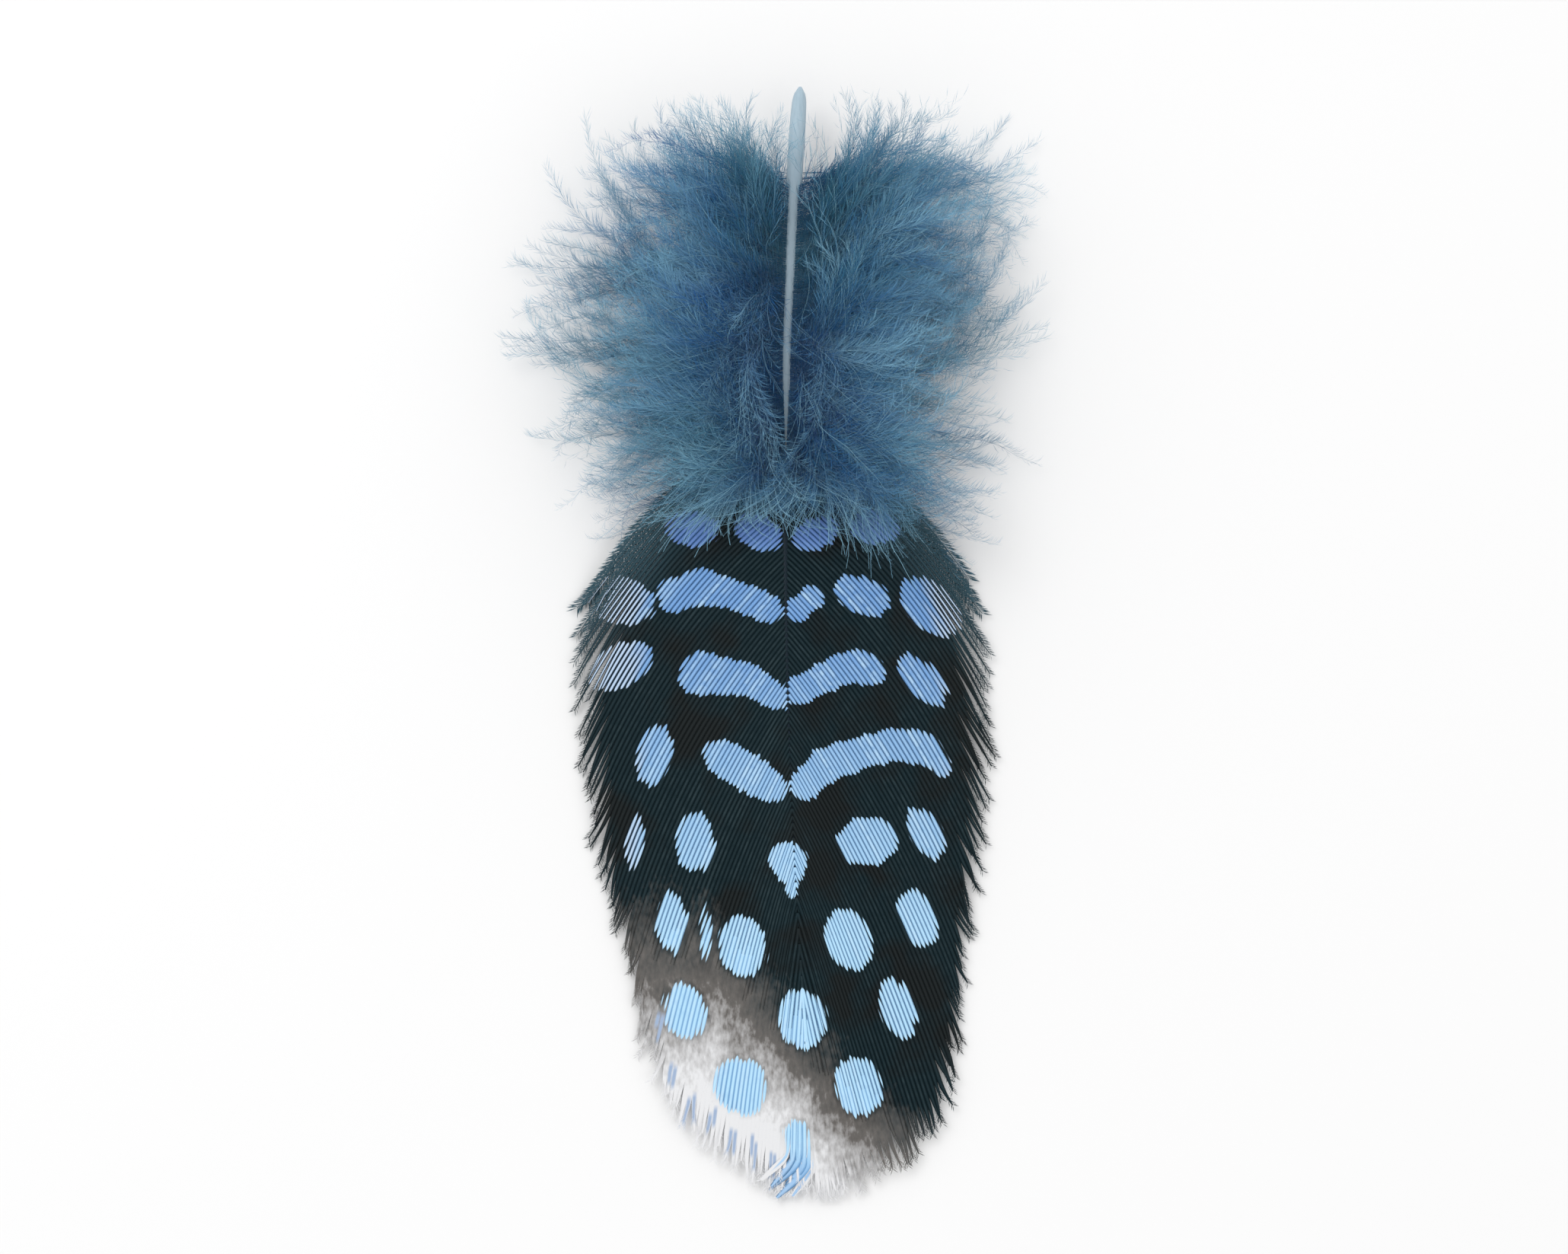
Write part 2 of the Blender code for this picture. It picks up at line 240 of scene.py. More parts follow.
def shaft_height(along):
    """Height of the vane's top at the shaft."""
    share = (along + ARCH_HIDDEN) / (LENGTH + ARCH_HIDDEN)
    return TIP_HEIGHT + ARCH_HEIGHT * math.sin(math.pi * min(share, 1.0))


def shaft_sunk(along):
    """How deep the shaft's middle lies under the vane's top, so that the right width shows."""
    radius = between(SHAFT_RADII, along, 1)
    shown = between(SHAFT_SHOWN, along, 1)
    open_width = min(max(shown, 0.0), SHAFT_SHOWN_MOST * radius)
    return math.sqrt(radius ** 2 - open_width ** 2) - min(shown, 0.0)


def place(along, across, height):
    """A point of the feather in the frame."""
    return Vector((SHAFT_OFFSET + shaft_across(along) + across, LENGTH / 2 - along, height))


def half_width(along, side):
    """Half the vane's width, with its round tip."""
    width = between(VANE_HALF_WIDTHS, along, 1 if side < 0 else 2)
    short = 1 - (LENGTH - along) / TIP_ROUNDING
    if short > 0:
        width *= math.sqrt(max(0.0, 1 - short * short))
    return width


def vane_share(root):
    """How far along the vane a barb leaves the shaft, from 0 to 1."""
    return (root - VANE_FIRST_BARB) / (SHAFT_LENGTH - VANE_FIRST_BARB)


def barb_angles(root):
    """The angles from the shaft of the barb that leaves it at root, there and at its end."""
    share = vane_share(root)
    start = BARB_ROOT_ANGLES[0] + (BARB_ROOT_ANGLES[1] - BARB_ROOT_ANGLES[0]) * share
    change = share ** BARB_END_CHANGE
    end = BARB_END_ANGLES[0] + (BARB_END_ANGLES[1] - BARB_END_ANGLES[0]) * change
    return math.radians(start), math.radians(end)


def barb_point(root, side, length, share):
    """Along and across of a point on the barb that leaves the shaft at root."""
    start, end = barb_angles(root)
    along = math.cos(start) * share + (math.cos(end) - math.cos(start)) * share * share / 2
    across = math.sin(start) * share + (math.sin(end) - math.sin(start)) * share * share / 2
    return root + length * along, side * length * across


def barb_length(root, side):
    """How long a barb is before it meets the vane's outline, by halving the interval."""
    shortest = 0.0
    longest = LENGTH
    for _ in range(HALVINGS):
        length = (shortest + longest) / 2
        along, across = barb_point(root, side, length, 1.0)
        if along < LENGTH and abs(across) < half_width(along, side):
            shortest = length
        else:
            longest = length
    return shortest


def vane_height(along, across):
    """Height of the vane's top: each vane curves down from the shaft to its margin."""
    side = 1 if across > 0 else -1
    width = max(half_width(min(along, LENGTH - TIP_ROUNDING), side), MM)
    share = min(abs(across) / width, 1.0)
    top = shaft_height(along)
    return top - max(top - MARGIN_HEIGHT, 0.0) * share * share


def vane_tilt(along, across, run_along, run_across):
    """The vane's slope to the left of a direction on it, as an angle."""
    run = math.hypot(run_along, run_across)
    step_along = -TILT_STEP * run_across / run
    step_across = TILT_STEP * run_along / run
    left = vane_height(along + step_along, across + step_across)
    right = vane_height(along - step_along, across - step_across)
    return math.atan2(left - right, 2 * TILT_STEP)


def spot_depth(spot, across, along):
    """How deep a place lies inside an oval spot, in mm."""
    spot_across, spot_along, half_long, half_wide, turn = spot
    cosine = math.cos(math.radians(turn))
    sine = math.sin(math.radians(turn))
    away_across = across - spot_across
    away_along = along - spot_along
    long_part = (away_across * cosine + away_along * sine) / half_long
    wide_part = (away_along * cosine - away_across * sine) / half_wide
    return (1 - math.hypot(long_part, wide_part)) * min(half_long, half_wide)


def bar_depth(bar, across, along):
    """How deep a place lies inside a bar that runs from place to place, in mm."""
    depths = []
    for first, second in zip(bar, bar[1:]):
        run_across = second[0] - first[0]
        run_along = second[1] - first[1]
        part = (across - first[0]) * run_across + (along - first[1]) * run_along
        share = clamped(part / (run_across ** 2 + run_along ** 2))
        away = math.hypot(across - first[0] - run_across * share,
                          along - first[1] - run_along * share)
        depths.append(first[2] + (second[2] - first[2]) * share - away)
    return max(depths)


def mark_depth(along, across):
    """How deep a place lies inside the nearest pale mark, in mm: negative outside them all."""
    depths = [spot_depth(spot, across / MM, along / MM) for spot in SPOTS]
    depths += [bar_depth(bar, across / MM, along / MM) for bar in BARS]
    return max(depths)


class Nodes:
    """Short ways to add nodes to a tree."""

    def node(self, kind, sockets=(), **settings):
        """Adds a node: sockets pairs each input's name or number with a value or an output."""
        made = self.tree.nodes.new(kind)
        for name, value in settings.items():
            setattr(made, name, value)
        for name, value in dict(sockets).items():
            self.put(made.inputs[name], value)
        return made

    def put(self, socket, value):
        if isinstance(value, bpy.types.NodeSocket):
            self.tree.links.new(value, socket)
        else:
            socket.default_value = value

    def math(self, operation, *values):
        return self.node("ShaderNodeMath", enumerate(values), operation=operation).outputs[0]

    def times(self, product, *factors):
        for factor in factors:
            product = self.math("MULTIPLY", product, factor)
        return product

    def plus(self, first, second):
        return self.math("ADD", first, second)

    def minus(self, first, second):
        return self.math("SUBTRACT", first, second)

    def power(self, value, exponent):
        return self.math("POWER", value, exponent)


class Tree(Nodes):
    """A Geometry Nodes tree in the making."""

    def __init__(self, name, floats=(), integers=()):
        self.tree = bpy.data.node_groups.new(name, "GeometryNodeTree")
        inputs = [("Geometry", "Geometry")] + [(label, "Float") for label in floats]
        inputs += [(label, "Int") for label in integers] + [("Material", "Material")]
        for label, kind in inputs:
            self.tree.interface.new_socket(label, in_out="INPUT", socket_type="NodeSocket" + kind)
        self.tree.interface.new_socket("Geometry", in_out="OUTPUT",
                                       socket_type="NodeSocketGeometry")
        self.entry = self.tree.nodes.new("NodeGroupInput")

    def given(self, label):
        return self.entry.outputs[label]

    def vector(self, operation, *values):
        made = self.node("ShaderNodeVectorMath", enumerate(values), operation=operation)
        return made.outputs["Vector"]

    def scaled(self, vector, factor):
        made = self.node("ShaderNodeVectorMath", {"Vector": vector, "Scale": factor},
                         operation="SCALE")
        return made.outputs["Vector"]

    def point(self, x=0.0, y=0.0, z=0.0):
        return self.node("ShaderNodeCombineXYZ", {"X": x, "Y": y, "Z": z}).outputs[0]

    def parts(self, vector):
        return self.node("ShaderNodeSeparateXYZ", {0: vector}).outputs

    def position(self):
        return self.node("GeometryNodeInputPosition").outputs[0]

    def named(self, name, kind="FLOAT"):
        return self.node("GeometryNodeInputNamedAttribute", {"Name": name},
                         data_type=kind).outputs["Attribute"]

    def random(self, low, high, identity, seed):
        made = self.node("FunctionNodeRandomValue", {"ID": identity, "Seed": seed},
                         data_type="FLOAT")
        made.inputs[2].default_value = low
        made.inputs[3].default_value = high
        return made.outputs[1]

    def random_vector(self, reach, identity, seed):
        made = self.node("FunctionNodeRandomValue", {"ID": identity, "Seed": seed},
                         data_type="FLOAT_VECTOR")
        made.inputs[0].default_value = (-reach, -reach, -reach)
        made.inputs[1].default_value = (reach, reach, reach)
        return made.outputs[0]

    def store(self, geometry, name, value, kind="FLOAT", domain="POINT"):
        made = self.node("GeometryNodeStoreNamedAttribute",
                         {"Geometry": geometry, "Name": name, "Value": value},
                         data_type=kind, domain=domain)
        return made.outputs["Geometry"]

    def noise(self, vector):
        return self.node("ShaderNodeTexNoise",
                         {"Vector": vector, "Scale": 1.0, "Detail": 2.0}).outputs

    def moved(self, geometry, offset):
        return self.node("GeometryNodeSetPosition",
                         {"Geometry": geometry, "Offset": offset}).outputs[0]

    def placed(self, geometry, position):
        return self.node("GeometryNodeSetPosition",
                         {"Geometry": geometry, "Position": position}).outputs[0]

    def joined(self, *parts):
        made = self.tree.nodes.new("GeometryNodeJoinGeometry")
        for part in reversed(parts):
            self.tree.links.new(part, made.inputs[0])
        return made.outputs[0]

    def strands(self):
        """The input's points as curves, one for each value of strand, in order of share."""
        points = self.node("GeometryNodeMeshToPoints", {"Mesh": self.given("Geometry")})
        return self.node("GeometryNodePointsToCurves",
                         {"Points": points.outputs[0],
                          "Curve Group ID": self.named("strand", "INT"),
                          "Weight": self.named("share")}).outputs[0]

    def sown(self, curves, spacing):
        """Points at even distances along the curves."""
        return self.node("GeometryNodeCurveToPoints", {"Curve": curves, "Length": spacing},
                         mode="LENGTH").outputs

    def close(self, geometry):
        """Ends the tree in real geometry with its material."""
        real = self.node("GeometryNodeRealizeInstances", {"Geometry": geometry})
        finished = self.node("GeometryNodeSetMaterial", {"Geometry": real.outputs[0],
                                                         "Material": self.given("Material")})
        end = self.tree.nodes.new("NodeGroupOutput")
        self.tree.links.new(finished.outputs[0], end.inputs[0])
        return self.tree


def sliver(tree, width):
    """A barbule one unit long on +Y, pointed at both ends; tipward runs from 0 to 1."""
    corners = tree.node("GeometryNodeMeshCircle", {"Vertices": 4, "Radius": 1.0},
                        fill_type="NGON")
    corner = tree.parts(tree.position())
    tipward = tree.math("DIVIDE", tree.plus(corner["X"], 1.0), 2.0)
    shape = tree.store(corners.outputs["Mesh"], "tipward", tipward)
    return tree.placed(shape, tree.point(tree.times(corner["Y"], width), tree.named("tipward")))


def blade(tree, curves, width, ridge, tilt=0.0):
    """Curves swept into closed blades with a raised middle line; across runs from -1 to 1.

    Width is half the blade's. On a curve that lies level, +Y of the swept outline points down.
    """
    corners = tree.node("GeometryNodeCurvePrimitiveCircle", {"Resolution": 3, "Radius": 1.0})
    side = tree.math("DIVIDE", tree.parts(tree.position())["Y"], math.sin(math.radians(120)))
    outline = tree.store(corners.outputs[0], "across", side)
    side = tree.named("across")
    rise = tree.times(tree.minus(1.0, tree.math("ABSOLUTE", side)), ridge)
    outline = tree.placed(outline, tree.point(side, tree.times(rise, -1.0)))
    upright = tree.node("GeometryNodeSetCurveNormal", {"Curve": curves}, mode="Z_UP")
    tilted = tree.node("GeometryNodeSetCurveTilt", {"Curve": upright.outputs[0], "Tilt": tilt})
    return tree.node("GeometryNodeCurveToMesh",
                     {"Curve": tilted.outputs[0], "Profile Curve": outline,
                      "Scale": width, "Fill Caps": True}).outputs[0]


def barbules(tree, points, direction, width, size, kept=True):
    """Slivers that stand on the points and look in a direction."""
    facing = tree.node("FunctionNodeAlignRotationToVector", {"Vector": direction}, axis="Y")
    hairs = tree.node("GeometryNodeInstanceOnPoints",
                      {"Points": points, "Selection": kept, "Instance": sliver(tree, width),
                       "Rotation": facing.outputs[0], "Scale": size})
    return tree.node("GeometryNodeRealizeInstances", {"Geometry": hairs.outputs[0]}).outputs[0]


def charted(tree, geometry, first, second):
    """Stores two numbers as the piece's own map."""
    return tree.store(geometry, "OFBake", tree.point(first, second), "FLOAT2", "CORNER")


def grown(name, points, attributes, tree, values):
    """A plain mesh object: the tree's result on loose points that carry the attributes."""
    mesh = bpy.data.meshes.new(name + "_guides")
    mesh.from_pydata([tuple(point) for point in points], [], [])
    for label, kind, numbers in attributes:
        mesh.attributes.new(label, kind, "POINT").data.foreach_set("value", numbers)
    piece = bpy.data.objects.new(name, mesh)
    bpy.context.scene.collection.objects.link(piece)
    modifier = piece.modifiers.new("growth", "NODES")
    modifier.node_group = tree
    for item in tree.interface.items_tree:
        if item.in_out == "INPUT" and item.name in values:
            modifier[item.identifier] = values[item.name]
    evaluated = piece.evaluated_get(bpy.context.evaluated_depsgraph_get())
    plain = bpy.data.meshes.new_from_object(evaluated)
    if not plain.polygons:
        raise RuntimeError(name + " has no faces")
    finishes = [finish for finish in plain.materials if finish]
    plain.materials.clear()
    plain.materials.append(finishes[0])
    plain.polygons.foreach_set("material_index", [0] * len(plain.polygons))
    piece.modifiers.clear()
    piece.data = plain
    plain.name = name
    bpy.data.meshes.remove(mesh)
    return piece


def carried(piece):
    """Declares a finished piece: it rides on the body and stands for the solid."""
    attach(piece, BODY)
    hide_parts(NODE)


class Shader(Nodes):
    """A material in the making."""

    def __init__(self, name, finish):
        self.material = bpy.data.materials.new(name)
        self.material.use_nodes = True
        self.tree = self.material.node_tree
        self.principled = self.tree.nodes["Principled BSDF"]
        for label, value in finish.items():
            self.principled.inputs[label].default_value = value

    def attribute(self, name):
        """A number on the piece's own points or corners."""
        return self.node("ShaderNodeAttribute", attribute_name=name).outputs["Fac"]

    def ramp(self, value, span):
        """From 0 where the value is at the span's first number to 1 at its second."""
        return self.node("ShaderNodeMapRange", {"Value": value, "From Min": span[0],
                                                "From Max": span[1]}).outputs["Result"]

    def noise(self, scale, detail, stretch=(1.0, 1.0, 1.0)):
        coordinates = self.node("ShaderNodeTexCoord").outputs["Object"]
        mapped = self.node("ShaderNodeMapping", {"Vector": coordinates, "Scale": stretch})
        return self.node("ShaderNodeTexNoise", {"Vector": mapped.outputs[0], "Scale": scale,
                                                "Detail": detail}).outputs["Fac"]

    def mix(self, factor, first, second):
        made = self.node("ShaderNodeMix", data_type="RGBA")
        self.put(made.inputs["Factor"], factor)
        self.put(made.inputs[6], first)
        self.put(made.inputs[7], second)
        return made.outputs[2]

    def colour(self, value):
        self.put(self.principled.inputs["Base Color"], value)


def length_setting(name, description, default):
    return bpy.props.FloatProperty(name=name, description=description, default=default,
                                   unit="LENGTH")


def angle_setting(name, description, degrees):
    return bpy.props.FloatProperty(name=name, description=description, subtype="ANGLE",
                                   unit="ROTATION", default=math.radians(degrees))


def amount_setting(name, description, default):
    return bpy.props.FloatProperty(name=name, description=description, default=default)


def count_setting(name, description, default, least=1):
    return bpy.props.IntProperty(name=name, description=description, default=default, min=least)


def colour_setting(name, description, *colour):
    return bpy.props.FloatVectorProperty(name=name, description=description, subtype="COLOR",
                                         size=4, min=0.0, max=1.0, default=(*colour, 1.0))


class FeatherShaft(bpy.types.PropertyGroup):
    """The quill and the shaft."""

    sides: count_setting("Sides", "Faces round the shaft", 16, 6)
    rings: count_setting("Rings", "Rings of points along the shaft", 110, 10)
    round_end: length_setting(
        "Round End", "Length over which the quill's end is rounded", 0.7 * MM)
    quill: colour_setting("Quill", "Horn colour of the bare quill", 0.42, 0.54, 0.62)
    fibre: colour_setting("Fibre", "Darker fibres in the quill's horn", 0.24, 0.34, 0.42)
    rachis: colour_setting(
        "Rachis", "Colour of the shaft between the vanes", 0.005, 0.014, 0.023)


class FeatherVanes(bpy.types.PropertyGroup):
    """The barbs of the vanes and their marks."""

    first_pitch: length_setting(
        "First Pitch", "Distance between barbs where the vane begins", 0.40 * MM)
    last_pitch: length_setting(
        "Last Pitch", "Distance between barbs at the end of the shaft", 0.66 * MM)
    points: count_setting("Points", "Points along a barb", 56, 8)
    ridge: amount_setting("Ridge", "Height of a barb's ridge, of half its width", 0.28)
    least_gap: length_setting(
        "Least Gap", "Closer barbs than this lie over one another", 0.30 * MM)
    loose_end: length_setting(
        "Loose End", "Length over which a barb's end comes loose", 2.3 * MM)
    stray: length_setting("Stray", "How far a barb's loose end strays aside", 0.16 * MM)
    barbule_spacing: length_setting(
        "Barbule Spacing", "Distance between barbules where barbs are loose", 0.060 * MM)
    barbule: length_setting("Barbule", "Length of a barbule where barbs are loose", 0.55 * MM)
    dark: colour_setting("Dark", "Dark ground of the vane", 0.0055, 0.0175, 0.0230)
    bare: colour_setting(
        "Bare", "Brown-black patches where the ground took less dye", 0.0105, 0.0115, 0.0110)
    sheen_line: colour_setting(
        "Sheen Line", "Fine lines where a barb catches the light", 0.021, 0.039, 0.046)
    thin: colour_setting(
        "Thin", "Brown-grey where the vane begins to thin", 0.150, 0.139, 0.130)
    clear: colour_setting("Clear", "Pale grey of the vane's clear tip", 0.76, 0.765, 0.78)
    mark: colour_setting("Mark", "Dyed pale marks near the base", 0.185, 0.37, 0.69)
    low_mark: colour_setting("Low Mark", "Dyed pale marks near the tip", 0.45, 0.72, 0.93)
    # Painted shade: marks darkened where the down lies over them
    down_shaded_mark: colour_setting("Down Shaded Mark", "Marks that the down lies over", 0.13, 0.23, 0.54)
    # Partly the barbs' own deeper blue, partly painted shade in the grooves between them
    groove_blue_and_shade: colour_setting("Groove", "Blue between the barbs of a mark", 0.055, 0.16, 0.36)
    low_groove_blue_and_shade: colour_setting(
        "Low Groove", "Blue between the barbs of a mark near the tip", 0.12, 0.29, 0.54)
    loose_mark: colour_setting(
        "Loose Mark", "Whitish marks on barbs that lie apart", 0.52, 0.66, 0.84)
    faint: colour_setting("Faint", "Faint streaks along the clear margin", 0.34, 0.44, 0.61)
    # Painted highlight: whitish glints on some barbs of a mark
    glint: colour_setting("Glint", "Palest barbs of a mark", 0.55, 0.78, 0.96)
    downy: colour_setting(
        "Downy", "Grey-blue of the vane's first, downy barbs", 0.045, 0.100, 0.130)


class FeatherDown(bpy.types.PropertyGroup):
    """The downy barbs."""

    lower_barbs: count_setting("Lower Barbs", "Barbs in the lower layer on one side", 260)
    upper_barbs: count_setting("Upper Barbs", "Barbs in the upper layer on one side", 450)
    draped_barbs: count_setting(
        "Draped Barbs", "Barbs on one side that lie over the vane's root", 230)
    fine_barbs: count_setting(
        "Fine Barbs", "Single fine barbs on one side, nearly without barbules", 260)
    wisp: count_setting("Wisp", "Barbs that lie together as one wisp", 7)
    contrast: amount_setting("Contrast", "How far the lightness of wisps differs", 0.13)
    gather: amount_setting("Gather", "How far barbs draw together into locks", 0.65)
    turn: angle_setting("Turn", "How far the directions of wisps differ", 15)
    curl: angle_setting("Curl", "How far wisps curl along their length", 30)
    spread: length_setting("Spread", "How far barbs part inside a wisp", 1.2 * MM)
    wave: length_setting("Wave", "How far a barb waves", 1.1 * MM)
    reach: length_setting("Reach", "How far from the middle the down may reach", 24.4 * MM)
    behind: length_setting(
        "Behind", "How far the down may reach towards the quill's end", 43.5 * MM)
    width: length_setting("Width", "Half the width of a downy barb", 0.026 * MM)
    spacing: length_setting("Spacing", "Distance between barbules along a barb", 0.090 * MM)
    comb: length_setting(
        "Comb", "Strength of the pull on the barbules' ends, towards the quill", 5.0 * MM)
    barbule: length_setting("Barbule", "Length of a barbule", 2.2 * MM)
    barbule_width: amount_setting(
        "Barbule Width", "Half the width of a barbule, of its length", 0.0105)
    deep: colour_setting("Deep", "Blue dye where it is strong", 0.009, 0.088, 0.280)
    grey: colour_setting("Grey", "Grey-green down where the dye is weak", 0.033, 0.142, 0.208)
    pale: colour_setting("Pale", "Pale ends of the down", 0.27, 0.53, 0.68)


class FeatherStage(bpy.types.PropertyGroup):
    """The floor, the lights and the camera."""

    elevation: angle_setting("Elevation", "Angle of the camera over the floor", 80)
    lens: amount_setting("Lens", "Focal length in mm", 85.0)
    filled: amount_setting(
        "Filled", "Share of the picture's height that the feather takes", 0.90)
    floor: colour_setting("Floor", "Colour of the floor", 0.88, 0.88, 0.88)
    daylight: amount_setting("Daylight", "Strength of the light from all round", 0.80)
    softbox: amount_setting("Softbox", "Strength of the soft light overhead, in W", 0.9)


# Noises of the materials: scale, detail and stretch
HORN_NOISE = (900.0, 4.0, (6.0, 0.5, 6.0))
FLECK_NOISE = (1500.0, 2.0)
PATCH_NOISE = (190.0, 3.0)
CLOUD_NOISE = (420.0, 5.0)
GRAIN_NOISE = (3000.0, 3.0, (1.0, 0.45, 1.0))

# Where one colour begins to turn into the next, and where it has done so. By a noise's value:
HORN_FIBRES = (0.3, 0.75)
LINE_FLECKS = (0.25, 0.8)
GLINT_FLECKS = (0.3, 0.6)
GROOVE_FLECKS = (0.5, 0.85)
PATCHES = (0.48, 0.64)
CLOUDS = (0.30, 0.72)
GRAINS = (0.30, 0.70)
# By the way along the feather, as a share of its length:
SHAFT_DARKENS = (0.26, 0.42)
# the painted shade on marks that the down lies over: none past the first share, full before the
# second
MARKS_DOWN_SHADED = (0.452, 0.425)
MARKS_TURN_PALE = (0.52, 0.78)
MARK_BENDS = (0.957, 0.975)
# By how thin the vane is, with its mottling:
TURNS_BROWN = (0.34, 0.86)
TURNS_CLEAR = (0.80, 1.22)
# By the way from a barb's ridge, 0, to its edge, 1:
RIDGE_EDGE = (0.0, 0.6)
STREAK_EDGE = (1.1, 0.4)
# By the depth inside a mark, in mm:
RIM_DEPTH = (-0.30, -0.10)
MARK_DEPTH = (-0.10, -0.03)
# By a number of the down's own map:
DYE_WEAK_TO_STRONG = (0.25, 0.8)
DOWN_DEEP_TO_PALE = (0.15, 0.95)

# How much of each effect shows, where a line says nothing else
HORN_FIBRE_AMOUNT = 0.35
HORN_BUMP = 0.03 * MM
HORN_BUMP_STRENGTH = 0.4
LINE_IN_OPEN = 1.1              # strength of the sheen lines outside the brown-black patches
LINE_LEAST = 0.55               # their strength on the dullest barb, and its growth with tone
LINE_GAIN = 1.9
PATCH_AMOUNT = 0.75
MOTTLING = 0.18
RIM_AMOUNT = 0.85               # strength of a mark's dark rim, and its loss where the vane thins
RIM_LOSS = 0.7
# strength of the painted shade on marks that the down lies over
DOWN_SHADE_AMOUNT = 0.8
BENT_DEEPER = 0.6
# the groove's deeper blue and its painted shade begin and end here on a barb
GROOVE_SHADE_EDGE = (0.34, 0.95)      # where the groove begins and ends on a barb
GROOVE_SHADE_EDGE_APART = (0.06, 0.35)    # how much earlier on barbs that lie apart
GROOVE_GRAIN = 0.18
TOOTH_LENGTH = 0.36             # how much further a mark runs on a barb's ridge, in mm
TOOTH_SHAPE = 1.5               # above 1, the teeth of a mark's edge are rounder


def shaft_material(look):
    """Horn: pale and glassy at the quill, dark between the vanes."""
    shader = Shader("quill horn", {"Roughness": 0.45, "Specular IOR Level": 0.15})
    fibres = shader.ramp(shader.noise(*HORN_NOISE), HORN_FIBRES)
    horn = shader.mix(shader.times(fibres, HORN_FIBRE_AMOUNT), look.quill, look.fibre)
    darkening = shader.ramp(shader.attribute("along"), SHAFT_DARKENS)
    shader.colour(shader.mix(darkening, horn, look.rachis))
    bump = shader.node("ShaderNodeBump", {"Height": fibres, "Distance": HORN_BUMP,
                                          "Strength": HORN_BUMP_STRENGTH})
    shader.put(shader.principled.inputs["Normal"], bump.outputs[0])
    return shader.material


def dark_ground(shader, look, edge, fleck):
    """The vane's dark ground: brown-black patches, and a fine line of light on each barb."""
    patch = shader.ramp(shader.noise(*PATCH_NOISE), PATCHES)
    ridge = shader.minus(1.0, shader.ramp(edge, RIDGE_EDGE))
    own = shader.plus(LINE_LEAST, shader.times(shader.attribute("tone"), LINE_GAIN))
    line = shader.times(ridge, shader.ramp(fleck, LINE_FLECKS),
                        shader.minus(LINE_IN_OPEN, patch), own)
    bare = shader.mix(shader.times(patch, PATCH_AMOUNT), look.dark, look.bare)
    return shader.mix(line, bare, look.sheen_line)


def thinned_ground(shader, look, dark, edge):
    """The ground as it thins towards the tip, first brown-grey and then clear, and mottled."""
    thin = shader.attribute("thin")
    mottled = thin
    for noise, span in ((CLOUD_NOISE, CLOUDS), (GRAIN_NOISE, GRAINS)):
        mottled = shader.plus(mottled, shader.times(shader.ramp(shader.noise(*noise), span),
                                                    MOTTLING))
    ground = shader.mix(shader.ramp(mottled, TURNS_BROWN), dark, look.thin)
    ground = shader.mix(shader.ramp(mottled, TURNS_CLEAR), ground, look.clear)
    rim = shader.times(shader.ramp(shader.attribute("mark"), RIM_DEPTH),
                       shader.minus(RIM_AMOUNT, shader.times(thin, RIM_LOSS)))
    ground = shader.mix(rim, ground, dark)
    streak = shader.times(shader.attribute("faint"), shader.ramp(edge, STREAK_EDGE))
    ground = shader.mix(streak, ground, look.faint)
    return shader.mix(shader.attribute("downy"), ground, look.downy)


def dyed_marks(shader, look, dark, edge, fleck):
    """The marks' colours: pale barbs with deeper blue and painted shade between them, painted
    glints on some barbs, painted shade where the down lies over them, and whitish where barbs
    part.
    """
    along = shader.attribute("along")
    apart = shader.attribute("apart")
    # Marks that the down lies over get painted shade, and no painted glint
    down_shaded = shader.ramp(along, MARKS_DOWN_SHADED)
    low = shader.ramp(along, MARKS_TURN_PALE)
    pale = shader.mix(low, look.mark, look.low_mark)
    pale = shader.mix(shader.times(down_shaded, DOWN_SHADE_AMOUNT), pale, look.down_shaded_mark)
    # Painted glints: a whitish highlight on barbs by their tone, in flecks
    glint = shader.times(shader.attribute("tone"), shader.ramp(fleck, GLINT_FLECKS),
                         shader.minus(1.0, down_shaded))
    pale = shader.mix(glint, pale, look.glint)
    pale = shader.mix(shader.times(shader.ramp(along, MARK_BENDS), BENT_DEEPER), pale, look.mark)
    pale = shader.mix(apart, pale, look.loose_mark)
    # Colour at a barb's edges: its own deeper blue, and painted shade in the groove
    groove_blue_and_shade = shader.mix(apart, shader.mix(low, look.groove_blue_and_shade, look.low_groove_blue_and_shade), dark)
    edges = [shader.minus(edge_at, shader.times(apart, earlier))
             for edge_at, earlier in zip(GROOVE_SHADE_EDGE, GROOVE_SHADE_EDGE_APART)]
    pale = shader.mix(shader.ramp(edge, edges), pale, groove_blue_and_shade)
    return shader.mix(shader.times(shader.ramp(fleck, GROOVE_FLECKS), GROOVE_GRAIN), pale, groove_blue_and_shade)


def vane_material(look):
    """Barbs of the vane: dark ground, crisp pale marks barb by barb, thin and grey at the tip."""
    shader = Shader("vane barbs", {"Roughness": 0.6, "Specular IOR Level": 0.12})
    edge = shader.math("ABSOLUTE", shader.attribute("across"))
    fleck = shader.noise(*FLECK_NOISE)
    dark = dark_ground(shader, look, edge, fleck)
    tooth = shader.times(shader.power(edge, TOOTH_SHAPE), TOOTH_LENGTH)
    inside = shader.ramp(shader.minus(shader.attribute("mark"), tooth), MARK_DEPTH)
    shader.colour(shader.mix(inside, thinned_ground(shader, look, dark, edge),
                             dyed_marks(shader, look, dark, edge, fleck)))
    return shader.material


